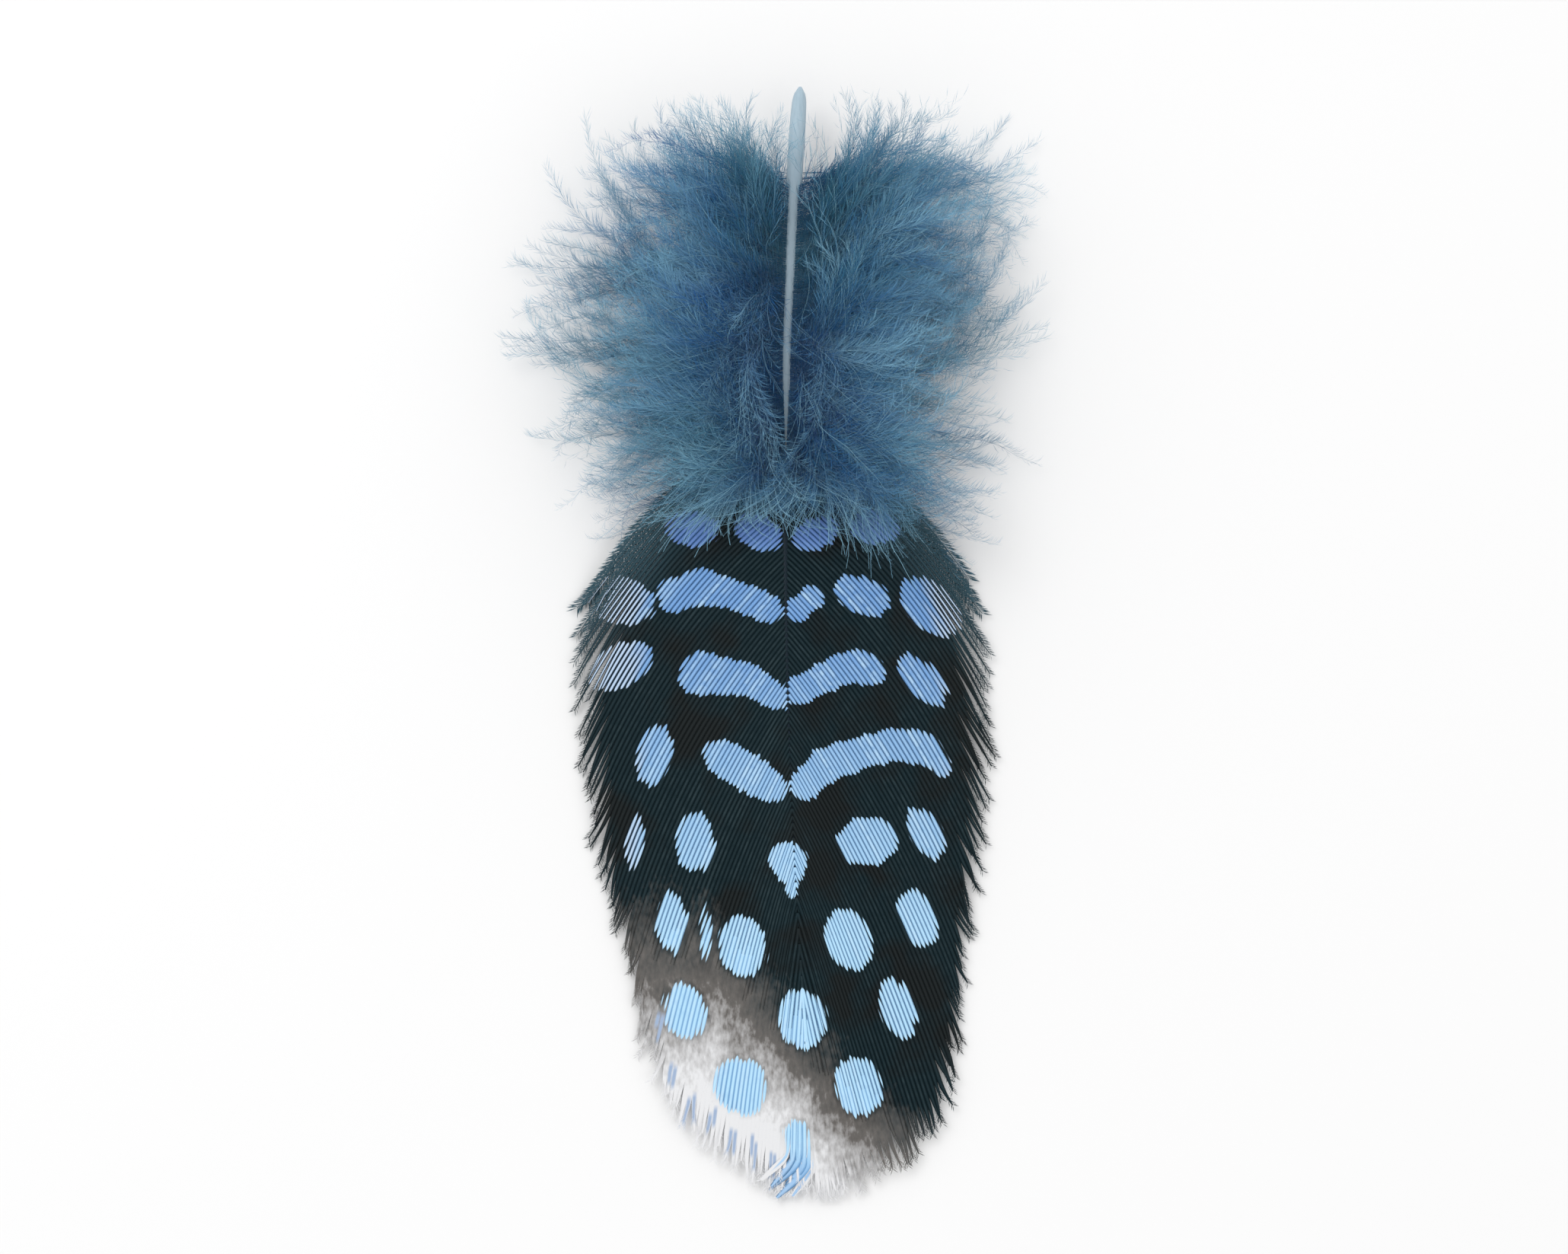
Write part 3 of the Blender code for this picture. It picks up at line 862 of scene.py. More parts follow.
def down_material(look):
    """Down: two numbers on its own map, dye and light, say how each fibre is coloured."""
    shader = Shader("blue down", {"Roughness": 0.85, "Specular IOR Level": 0.2,
                                  "Sheen Weight": 0.15, "Sheen Roughness": 0.5})
    chart = shader.node("ShaderNodeUVMap", uv_map="OFBake").outputs[0]
    numbers = shader.node("ShaderNodeSeparateXYZ", {0: chart}).outputs
    body = shader.mix(shader.ramp(numbers["X"], DYE_WEAK_TO_STRONG), look.grey, look.deep)
    light = shader.ramp(numbers["Y"], DOWN_DEEP_TO_PALE)
    shader.colour(shader.mix(light, body, look.pale))
    return shader.material


def shaft_tree():
    """Sweeps the shaft's points into a round tapered tube with closed ends."""
    tree = Tree("shaft growth", (), ("Sides",))
    circle = tree.node("GeometryNodeCurvePrimitiveCircle",
                       {"Resolution": tree.given("Sides"), "Radius": 1.0})
    swept = tree.node("GeometryNodeCurveToMesh",
                      {"Curve": tree.strands(), "Profile Curve": circle.outputs[0],
                       "Scale": tree.named("thickness"), "Fill Caps": True})
    smooth = tree.node("GeometryNodeSetShadeSmooth", {"Geometry": swept.outputs[0]})
    return tree.close(smooth.outputs[0])


# Barbs of the vane, and the barbules where they are loose
CLEAR_SINKING = 0.72            # share of its ridge that a barb loses where the vane is clear
CLEAR_FROM = 0.35               # how thin the vane is where barbs are no longer shaded as round
CLEAR_SPREAD = 0.2              # how far that differs from barb to barb
VANE_BARBULE_TURN = (0.5, 1.1)  # least and most sideways turn of a barbule, against ahead
VANE_BARBULE_WIDTH = 0.05
LEAST_FUZZ = 0.12               # smaller barbules than this, of the full size, are left out
UNMARKED = -1.0                 # depth inside a mark that barbules are given: outside it
CHART_ROW_SHARE = 0.4           # half the part of a barb's row in its map that the barb fills


def barb_tree():
    """Sweeps barbs into ridged blades, with barbules where the vane comes loose."""
    tree = Tree("barb growth", ("Ridge", "Barbule Spacing", "Barbule"), ("Seed", "Strands"))
    barbs = tree.strands()
    thin = tree.named("thin")
    across = tree.named("across")
    thickness = tree.named("thickness")
    blades = blade(tree, barbs, thickness, tree.given("Ridge"), tree.named("tilt"))
    inward = tree.minus(1.0, tree.math("ABSOLUTE", across))
    raised = tree.times(inward, tree.given("Ridge"), thickness)
    sinking = tree.times(raised, tree.times(thin, -CLEAR_SINKING))
    blades = tree.moved(blades, tree.point(z=sinking))
    clearness = tree.plus(thin, tree.random(-CLEAR_SPREAD, CLEAR_SPREAD,
                                            tree.named("strand", "INT"), tree.given("Seed")))
    clear = tree.math("GREATER_THAN", clearness, CLEAR_FROM)
    flat = tree.node("GeometryNodeSetShadeSmooth",
                     {"Geometry": blades, "Shade Smooth": False, "Selection": clear})
    sown = tree.sown(barbs, tree.given("Barbule Spacing"))
    index = tree.node("GeometryNodeInputIndex").outputs[0]
    turn = tree.random(*VANE_BARBULE_TURN, index, tree.given("Seed"))
    alternate = tree.minus(tree.times(tree.math("MODULO", index, 2.0), 2.0), 1.0)
    side = tree.vector("CROSS_PRODUCT", sown["Tangent"], (0.0, 0.0, 1.0))
    direction = tree.vector("ADD", sown["Tangent"], tree.scaled(side, tree.times(turn, alternate)))
    fuzz = tree.named("fuzz")
    hairs = barbules(tree, sown["Points"], direction, VANE_BARBULE_WIDTH,
                     tree.times(fuzz, tree.given("Barbule")),
                     tree.math("GREATER_THAN", fuzz, LEAST_FUZZ))
    whole = tree.joined(flat.outputs[0], tree.store(hairs, "mark", UNMARKED))
    row = tree.plus(tree.named("strand"), tree.plus(0.5, tree.times(across, CHART_ROW_SHARE)))
    row = tree.math("DIVIDE", row, tree.given("Strands"))
    return tree.close(charted(tree, whole, tree.named("share"), row))


# Downy barbs and their barbules. Scales are of the noise that barbs wave and take dye by. Shapes
# are powers, of a random number or of a share that runs from 0 at the root of a barb, or of a
# barbule, to 1 at its end. Seeds keep the random values of each use apart.
SWAY_SCALE = 110.0
FRIZZ_SCALE = 260.0
FRIZZ_AMOUNT = 0.25
WAVE_CENTRE = (0.625, 0.625, 0.625)     # the mean of the sway and the frizz together
WAVE_GAIN = 4.0
OWN_FRIZZ = 9.0                 # how far apart in the noise the barbs take their own frizz
DOWN_TAPER = 0.75               # how much narrower a barb is at its end
DOWN_RIDGE = 0.6
FRONT_STRONGER = 0.35           # how much wider a barb is at the down's front
FRONT_PALER = 0.15
FRONT_BARER = 0.75              # how much shorter its barbules are there
# gleam: painted highlights that make a few barbs paler
GLEAM_SHAPE = 3.0               # above 1, few barbs gleam
GLEAM_AMOUNT = 0.6
GLEAM_RISE = 2.5                # how fast the gleam grows from the root
END_LIGHT = 0.6                 # how much paler a barb is at its end
SPLAY_SPREAD = (0.35, 1.2)      # least and most of a barbule's splay, and of its length
BARBULE_SPREAD = (0.5, 1.0)
DWINDLE_SHAPE = 3.0
ROOT_BARBULE = 0.14             # size of a barbule at the root, and how fast it grows with share
BARBULE_RISE = 4.5
COMBED_TOWARDS = (0.0, 0.07273066, -0.00139305)     # share of the comb's pull along each axis
COMB_SHAPE = 2.0
BARBULE_LIGHT_SHAPE = 1.5
BARBULE_LIGHT = 0.50            # how much paler barbules are at a barb's end, and at their own
BARBULE_END_LIGHT = 0.26
BARBULE_SHADE = 0.04
DYE_SCALE = 70.0
DYE_SPREAD = 0.14               # how far the dye differs from barb to barb
ROLL_SEED = 3
SIZE_SEED = 5
DYE_SEED = 11
GLEAM_SEED = 13
SPLAY_SEED = 17


def folded_in(tree, geometry):
    """Turns back what would pass the floor, the ceiling or the reach to either side."""
    place_now = tree.parts(tree.position())
    risen = tree.math("ABSOLUTE", tree.minus(place_now["Z"], tree.given("Floor")))
    risen = tree.plus(risen, tree.given("Floor"))
    lowered = tree.math("ABSOLUTE", tree.minus(tree.given("Ceiling"), risen))
    aside = tree.math("MAXIMUM", tree.math("MINIMUM", place_now["X"], tree.given("Reach")),
                      tree.times(tree.given("Reach"), -1.0))
    folded = tree.minus(tree.times(aside, 2.0), place_now["X"])
    kept = tree.point(folded, place_now["Y"], tree.minus(tree.given("Ceiling"), lowered))
    return tree.placed(geometry, kept)


def waving_barbs(tree, barb, share):
    """The barbs' curves, which sway together and frizz each in its own way."""
    position = tree.position()
    own = tree.scaled(tree.random_vector(1.0, barb, tree.given("Seed")), OWN_FRIZZ)
    sway = tree.noise(tree.scaled(position, SWAY_SCALE))["Color"]
    frizz = tree.noise(tree.vector("ADD", tree.scaled(position, FRIZZ_SCALE), own))["Color"]
    both = tree.vector("ADD", sway, tree.scaled(frizz, FRIZZ_AMOUNT))
    centred = tree.vector("SUBTRACT", both, WAVE_CENTRE)
    wave = tree.times(share, tree.given("Wave"), WAVE_GAIN)
    return tree.moved(tree.strands(), tree.scaled(centred, wave))


def downy_blades(tree, barbs, barb, share, near):
    """The barbs' own thin blades; light is how pale they are, with a painted highlight on a few.
    """
    thinning = tree.plus(tree.minus(1.0, tree.times(share, DOWN_TAPER)),
                         tree.times(near, FRONT_STRONGER))
    blades = blade(tree, barbs, tree.times(thinning, tree.given("Width")), DOWN_RIDGE)
    painted_highlight = tree.power(tree.random(0.0, 1.0, barb, GLEAM_SEED), GLEAM_SHAPE)
    gleam = tree.plus(tree.times(painted_highlight, GLEAM_AMOUNT), tree.given("Gleam"))
    gleam = tree.times(gleam, tree.math("MINIMUM", tree.times(share, GLEAM_RISE), 1.0))
    gleam = tree.plus(gleam, tree.times(near, FRONT_PALER))
    light = tree.plus(tree.times(share, END_LIGHT), gleam)
    return tree.store(blades, "light", tree.times(tree.given("Paling"), light))


def downy_barbules(tree, barbs, share, near):
    """Barbules all along the barbs, larger past the root; light is how pale they are."""
    sown = tree.sown(barbs, tree.given("Spacing"))
    index = tree.node("GeometryNodeInputIndex").outputs[0]
    roll = tree.random_vector(1.0, index, ROLL_SEED)
    side = tree.vector("NORMALIZE", tree.vector("CROSS_PRODUCT", sown["Tangent"], roll))
    side = tree.vector("MULTIPLY", side,
                       tree.point(1.0, 1.0, tree.minus(1.0, tree.given("Flatness"))))
    splay = tree.times(tree.given("Splay"), tree.random(*SPLAY_SPREAD, index, SPLAY_SEED))
    direction = tree.vector("ADD", sown["Tangent"], tree.scaled(side, splay))
    fullness = tree.minus(1.0, tree.times(tree.given("Dwindle"),
                                          tree.power(share, DWINDLE_SHAPE)))
    opening = tree.math("MINIMUM", tree.plus(ROOT_BARBULE, tree.times(share, BARBULE_RISE)), 1.0)
    size = tree.times(tree.times(fullness, tree.given("Barbule")),
                      tree.times(opening, tree.random(*BARBULE_SPREAD, index, SIZE_SEED)),
                      tree.minus(1.0, tree.times(near, FRONT_BARER)))
    hairs = barbules(tree, sown["Points"], direction, tree.given("Barbule Width"), size)
    tipward = tree.named("tipward")
    pull = tree.times(tree.given("Comb"), tree.power(tipward, COMB_SHAPE))
    combed = tree.moved(hairs, tree.scaled(COMBED_TOWARDS, pull))
    light = tree.plus(tree.times(tree.power(share, BARBULE_LIGHT_SHAPE), BARBULE_LIGHT),
                      tree.times(tipward, BARBULE_END_LIGHT))
    light = tree.minus(tree.times(light, tree.given("Paling")), BARBULE_SHADE)
    return tree.store(combed, "light", light)


def down_tree():
    """Sets each waving downy barb with barbules all along."""
    tree = Tree("down growth", (
        "Wave", "Width", "Spacing", "Barbule", "Barbule Width", "Splay", "Ceiling", "Floor",
        "Reach", "Comb", "Gleam", "Dwindle", "Greyness", "Flatness", "Paling"), ("Seed",))
    barb = tree.named("strand", "INT")
    share = tree.named("share")
    near = tree.named("near")
    barbs = waving_barbs(tree, barb, share)
    whole = tree.joined(downy_blades(tree, barbs, barb, share, near),
                        downy_barbules(tree, barbs, share, near))
    whole = folded_in(tree, whole)
    patch = tree.noise(tree.scaled(tree.position(), DYE_SCALE))["Fac"]
    dye = tree.plus(patch, tree.random(-DYE_SPREAD, DYE_SPREAD, barb, DYE_SEED))
    dye = tree.minus(dye, tree.given("Greyness"))
    light = tree.plus(tree.named("light"), tree.named("tone"))
    return tree.close(charted(tree, whole, dye, light))


RING_SHAPE = 1.5                # above 1, rings stand closer at the quill
QUILL_TIP = 0.12                # how blunt the quill's end is, as a share of the rounding


class FEATHER_OT_shaft(bpy.types.Operator):
    """Makes the quill and the shaft"""

    bl_idname = "feather.shaft"
    bl_label = "Shaft"

    def execute(self, context):
        look = context.scene.feather_shaft
        points = []
        thickness = []
        alongs = []
        shares = []
        for number in range(look.rings):
            share = number / (look.rings - 1)
            along = SHAFT_LENGTH * share ** RING_SHAPE
            rounded = math.sqrt(min(QUILL_TIP + along / look.round_end, 1.0))
            points.append(place(along, 0.0, shaft_height(along) - shaft_sunk(along)))
            thickness.append(between(SHAFT_RADII, along, 1) * rounded)
            alongs.append(along / LENGTH)
            shares.append(share)
        piece = grown("shaft", points, (
            ("strand", "INT", [0] * len(points)), ("share", "FLOAT", shares),
            ("thickness", "FLOAT", thickness), ("along", "FLOAT", alongs)),
            shaft_tree(), {"Sides": look.sides, "Material": shaft_material(look)})
        carried(piece)
        return {"FINISHED"}


# How the barbs of a vane grow. Shares without a word on them are of a barb's length.
END_SHORT = 0.07                # most that a barb's end falls short
JAGGED = 0.15                   # how far a mark's edge strays from barb to barb, in mm
TONE_MOST = 0.7
DOWNY_FADE = 3.2                # how fast the first barbs stop being downy along the vane
DOWNY_LOOSER = 2.4              # how much longer the first barbs' loose ends are
LOOSE_SPREAD = (0.75, 1.3)      # how the length of loose ends differs
FIRM_LEAST = 0.3
APART_FROM = 0.53               # where barbs part on their marks: at first, by side, and tipward
APART_BY_SIDE = 0.03
APART_LATER = 0.32
APART_SPREAD = 0.04
APART_DEPTH = 0.10              # over this they part fully
APART_FADE = 0.75               # how much less they do so at the tip
SHAFT_OVERLAP = 0.85            # share of the shaft's shown width that barbs begin at
DOWNY_ROOTS = 6.0 * MM          # this far before the down's last lock, barbs are fully downy
DOWNY_FROM = 0.2                # where on such a barb its down begins, and how fast that grows
DOWNY_RISE = 2.5
LOOK_AHEAD = 0.01               # the step by which a barb's direction is found
PITCH_LEAST = 0.02 * MM
CLUMPING = 0.26                 # how far loose ends close up to the middle of their clump
LOOSE_SHAPE = 1.5
HEIGHT_LEAST = 0.12 * MM        # the lowest that the vane puts a barb
RANK_RISE = 0.04 * MM           # how much higher a barb lies for each rank, where barbs crowd
RANK_LOSS = 0.8                 # how much of that the vane's thinning takes away
WIDTH_OF_PITCH = 0.60           # half a barb's width, of the distance to the next one
WIDTH_MOST = 0.30 * MM
LOOSE_TAPER = 0.78              # how much narrower barbs are at their loose ends
LOOSE_TAPER_SHAPE = 1.3
CROWDED_TAPER = 0.5             # and how much so under others in a crowd, and where downy
DOWNY_TAPER = 0.5
BENT_WIDER = 0.8                # how much wider the last mark's barbs are past their bend
BENT_MARK_KEPT = 1.0 * MM       # they keep the mark of the place this far before the bend
BENT_END = 1.03                 # how bluntly they end
BENT_END_FALL = 9
BENT_END_SHAPE = 0.8
LOOSE_FUZZ = 1.1                # size of barbules on loose ends and on downy barbs
DOWNY_FUZZ = 1.9
# The short streaks near the ends of two in each five barbs on the clear left margin
TICK_GROUP = 5
TICK_MEMBERS = 2
TICK_BACK = 3.0 * MM            # how far before the barb's end its streak begins
TICK_GROUP_SPREAD = 0.4 * MM
TICK_SPREAD = 0.35 * MM
TICK_LENGTH = 1.9 * MM
TICK_FIRST_ALONG = 0.84 * LENGTH

# Where the vane begins to thin, by distance along, and over which depth it does. Right and left
# starts are how much later that is for each step to that side: on the left it is earlier.
THIN_START = 73.5 * MM
THIN_START_RIGHT = 0.9
THIN_START_LEFT = -1.5
THIN_START_LIMITS = (63 * MM, 82 * MM)
THIN_DEPTH = 13 * MM
THIN_DEPTH_LEFT = 4 * MM
THIN_LEFT_WIDTH = 6 * MM
THIN_MOST = 1.2

# How the barbs near the tip close up past the shaft's end
CLOSING_START = 68 * MM
CLOSING_LENGTH = 18 * MM
CLOSING = 0.5 * MM
CLOSING_MOST = 0.9              # the most, as a share of a barb's distance to the middle
CLOSING_WIDTH = 7 * MM          # how far from the middle barbs still do so

CLUMP_SIZES = (3, 7)            # the fewest and the most barbs whose loose ends close up
RANK_MOST = 5


def barb_pitch(root, look):
    """The distance to the next barb: larger towards the tip."""
    return look.first_pitch + (look.last_pitch - look.first_pitch) * vane_share(root)


def barb_roots(look):
    """Where the barbs of a vane leave the shaft."""
    root = VANE_FIRST_BARB
    while root < SHAFT_LENGTH:
        yield root
        root += barb_pitch(root, look)


def thin_amount(along, across):
    """How much of the floor shows through the vane: near the tip, and first on the left."""
    leftward = max(-across, 0.0)
    start = THIN_START + THIN_START_RIGHT * max(across, 0.0) + THIN_START_LEFT * leftward
    start = min(max(start, THIN_START_LIMITS[0]), THIN_START_LIMITS[1])
    depth = THIN_DEPTH + THIN_DEPTH_LEFT * min(leftward / THIN_LEFT_WIDTH, 1.0)
    return min(max((along - start) / depth, 0.0), THIN_MOST)


def clumps(count, draw):
    """For each barb, how many barbs away the middle of its clump lies."""
    away = []
    while len(away) < count:
        size = draw.randint(*CLUMP_SIZES)
        away += [(size - 1) / 2 - number for number in range(size)]
    return away[:count]


def drawn_in(along, across, side):
    """How far barbs near the tip draw towards the middle, to close up past the shaft's end."""
    closing = clamped((along - CLOSING_START) / CLOSING_LENGTH) * CLOSING
    return (-side * min(closing, CLOSING_MOST * abs(across))
            * max(1 - abs(across) / CLOSING_WIDTH, 0.0))


def swept_aside(along, across, lobe):
    """How far a barb of the last mark lies bent to the left; lobe, -1 or 1, pairs them up."""
    past = along - BEND_ALONG - BEND_DELAY * (across - BEND_ACROSS[0])
    rounded = (past + math.hypot(past, BEND_ROUNDING)) / 2
    return (BEND_PAIRING * lobe - BEND_SLOPE) * rounded


def rank(number):
    """How often a barb's number halves evenly: where barbs crowd, the high ranks stay on top."""
    halved = 0
    while number % 2 == 0 and halved < RANK_MOST:
        number //= 2
        halved += 1
    return halved


class Barb:
    """One barb of a vane: what is the same all along it, and its rows of points."""

    def __init__(self, number, root, side, clump, draw, look):
        self.number = number
        self.root = root
        self.side = side
        self.clump = clump
        self.look = look
        self.vane_share = vane_share(root)
        self.next_root = min(root + barb_pitch(root, look), SHAFT_LENGTH)
        self.length = barb_length(root, side)
        self.last_share = 1 - END_SHORT * draw.random() ** 2
        self.jagged = draw.uniform(-JAGGED, JAGGED)
        soft = max(1 - self.vane_share * DOWNY_FADE, 0.0)
        loose_length = look.loose_end * (1 + DOWNY_LOOSER * soft) * draw.uniform(*LOOSE_SPREAD)
        self.firm = max(self.last_share - loose_length / self.length, FIRM_LEAST)
        self.apart_from = (APART_FROM + APART_BY_SIDE * side
                           + APART_LATER * min(self.vane_share * 2, 1.0)
                           + draw.uniform(-APART_SPREAD, APART_SPREAD))
        self.stray = draw.gauss(0, 1) * look.stray * (1 + soft)
        self.lift = abs(draw.gauss(0, 1)) * look.stray
        # the tone sets how strongly the barb takes its painted sheen line and painted glint
        self.tone = TONE_MOST * draw.random() ** 2
        self.downy = max(DOWN_LAST - root, 0.0) / DOWNY_ROOTS
        covered = SHAFT_OVERLAP * max(between(SHAFT_SHOWN, root, 1), 0.0)
        self.first_share = covered / (self.length * math.sin(barb_angles(root)[0]))
        self.tick = (self.last_share * self.length - TICK_BACK
                     - TICK_GROUP_SPREAD * uneven(number // TICK_GROUP)
                     - TICK_SPREAD * uneven(number))
        end_along, end_across = barb_point(root, side, self.length, self.last_share)
        end_across += drawn_in(end_along, end_across, side)
        self.bent = (side < 0 and rank(number) > 0 and end_along > BEND_ALONG
                     and BEND_ACROSS[0] < end_across < BEND_ACROSS[1])
        self.ticked = (side < 0 and number % TICK_GROUP < TICK_MEMBERS
                       and end_across < BEND_ACROSS[0])

    def rows(self):
        steps = self.look.points - 1
        return [self.row(step / steps) for step in range(self.look.points)]

    def row(self, part):
        """The point at a part of the barb that shows, and what its looks depend on there."""
        share = self.first_share + (self.last_share - self.first_share) * part
        along, across = barb_point(self.root, self.side, self.length, share)
        next_along, next_across = barb_point(self.next_root, self.side, self.length, share)
        ahead_along, ahead_across = barb_point(self.root, self.side, self.length,
                                               share + LOOK_AHEAD)
        run_along = ahead_along - along
        run_across = ahead_across - across
        run = math.hypot(run_along, run_across)
        gap = abs((next_along - along) * run_across - (next_across - across) * run_along) / run
        gap = max(gap, PITCH_LEAST)
        crowding = max(math.log2(self.look.least_gap / gap), 0.0)
        loose = max(0.0, (share - self.firm) / (self.last_share - self.firm))
        gathered = self.clump * gap * CLUMPING * loose ** LOOSE_SHAPE + self.stray * loose ** 2
        drawn = across + drawn_in(along, across, self.side)
        if self.bent:
            moved_along = along
            moved_across = drawn + swept_aside(along, drawn, 1 if self.number % 4 == 0 else -1)
            marked_along = min(along, BEND_ALONG - BENT_MARK_KEPT)
        else:
            moved_along = along + gathered * abs(run_across) / run
            moved_across = drawn - self.side * gathered * run_along / run
            marked_along = along
        thin = thin_amount(along, across)
        height = max(vane_height(moved_along, moved_across), HEIGHT_LEAST)
        height += self.lift * loose ** 2
        height += RANK_RISE * min(rank(self.number), crowding) * (1 - RANK_LOSS * thin)
        downy = self.downy * clamped((share - DOWNY_FROM) * DOWNY_RISE)
        apart = clamped((share - self.apart_from) / APART_DEPTH)
        in_tick = self.tick < share * self.length < self.tick + TICK_LENGTH
        streaked = self.ticked and along > TICK_FIRST_ALONG and in_tick
        return {
            "point": place(moved_along, moved_across, height), "share": share,
            "along": along / LENGTH, "tone": self.tone,
            "thickness": self.half_width(part, along, gap, crowding, loose, downy),
            "tilt": vane_tilt(along, across, run_along, run_across),
            "fuzz": max(min(loose * LOOSE_FUZZ, 1.0), DOWNY_FUZZ * downy),
            "downy": min(downy, 1.0), "mark": mark_depth(marked_along, drawn) + self.jagged,
            "thin": thin, "apart": apart * (1 - APART_FADE * self.vane_share),
            "faint": 1.0 if streaked else 0.0}

    def half_width(self, part, along, gap, crowding, loose, downy):
        """Half the barb's width at a part of it, from the room it has beside the next one."""
        width = min(max(gap, self.look.least_gap) * WIDTH_OF_PITCH, WIDTH_MOST)
        if self.bent:
            width *= 1 + BENT_WIDER * clamped((along - BEND_ALONG) / MM)
            return width * min((BENT_END - part) * BENT_END_FALL, 1.0) ** BENT_END_SHAPE
        covered = clamped(crowding - rank(self.number))
        width *= 1 - LOOSE_TAPER * loose ** LOOSE_TAPER_SHAPE
        return width * (1 - CROWDED_TAPER * covered) * (1 - DOWNY_TAPER * downy)


class FEATHER_OT_vanes(bpy.types.Operator):
    """Makes the left and the right vane, barb by barb"""

    bl_idname = "feather.vanes"
    bl_label = "Vanes"

    def execute(self, context):
        look = context.scene.feather_vanes
        tree = barb_tree()
        material = vane_material(look)
        for side, name in ((-1, "left_vane"), (1, "right_vane")):
            draw = random.Random(VANE_SEED + side)
            roots = list(barb_roots(look))
            strands = [Barb(number + 1, root, side, clump, draw, look).rows()
                       for number, (root, clump)
                       in enumerate(zip(roots, clumps(len(roots), draw)))]
            rows = [row for strand in strands for row in strand]
            owners = [number for number, strand in enumerate(strands) for _ in strand]
            measured = [(label, "FLOAT", [row[label] for row in rows])
                        for label in rows[0] if label != "point"]
            piece = grown(name, [row["point"] for row in rows],
                          [("strand", "INT", owners)] + measured, tree,
                          {"Ridge": look.ridge, "Barbule Spacing": look.barbule_spacing,
                           "Barbule": look.barbule, "Seed": BARBULE_SEED + side,
                           "Strands": len(strands), "Material": material})
            carried(piece)
        return {"FINISHED"}


def lock_points(root, side, length, heading, curl, height):
    """Points of a lock's middle line; height gives theirs from along, across and share."""
    along = root
    across = 0.0
    points = []
    for number in range(LOCK_STEPS + 1):
        share = number / LOCK_STEPS
        points.append(place(along, across, height(along, across, share)))
        angle = math.radians(heading + curl * share)
        along += length / LOCK_STEPS * math.cos(angle)
        across += side * length / LOCK_STEPS * math.sin(angle)
    return points


def side_locks(side, layer):
    """The middle lines of the locks of down in one layer on one side.

    The numbers given to uneven are those of the solid, so that each lock has the same shape.
    """
    locks, length, halfway, end = LOCK_LAYERS[layer]
    lines = []
    for number in range(locks):
        share = (number + 0.5 * layer) / locks
        root = DOWN_FIRST + (DOWN_LAST - DOWN_FIRST) * share
        start = shaft_height(root) - VANE_THICKNESS / 2
        bend = halfway * (1 + UNEVEN_HEIGHT * uneven(4 * number + side))

        def height(along, across, share):
            first = start * (1 - share) ** 2
            return first + 2 * bend * share * (1 - share) + end * share ** 2

        heading = LOCK_HEADINGS[0] + (LOCK_HEADINGS[1] - LOCK_HEADINGS[0]) * share
        change = UNEVEN_LENGTH * uneven(3 * number + 7 * layer + side)
        lines.append(lock_points(root, side, length * (1 + change), heading,
                                 LOCK_CURL * uneven(5 * number + 2 * layer - side), height))
    return lines


def draped_locks(side):
    """The middle lines of the locks that lie forward over the root of the vane on one side."""
    def height(along, across, share):
        rise = DRAPED_LIFT * math.sin(math.pi * share ** DRAPED_SHAPE) + DRAPED_CLEARANCE * share
        return vane_height(along, across) + rise

    lines = []
    for number, (root, length, heading) in enumerate(DRAPED_LOCKS):
        change = UNEVEN_LENGTH * uneven(number + 2 * side)
        lines.append(lock_points(root, side, length * (1 + change), heading, DRAPED_CURL,
                                 height))
    return lines


def point_on(line, share):
    """The point at a share of the way along a line of points."""
    number = min(int(share * LOCK_STEPS), LOCK_STEPS - 1)
    return line[number].lerp(line[number + 1], share * LOCK_STEPS - number)


def turned(away, angle):
    """A vector turned about the upright."""
    cosine = math.cos(angle)
    sine = math.sin(angle)
    return Vector((away.x * cosine - away.y * sine, away.x * sine + away.y * cosine, away.z))


# How downy barbs differ: a wisp's reach and height, as shares of its locks'; how far from the
# down's front it stops; and how far a single barb departs from its wisp.
WISP_SHORTER = 0.50
WISP_SHORTER_SHAPE = 1.5
WISP_HEIGHTS = (0.65, 1.0)
WISP_FRONTS = (-0.6 * MM, 2.8 * MM)
BARB_REACHES = (0.72, 1.0)
BARB_TURN = 0.45
BARB_ASIDE = 0.5
BARB_FRONT = 0.4
TURNS_FROM_ROOT = 3
REACH_SHARES = (0.88, 0.97)
BEHIND_SHARES = (0.88, 1.0)


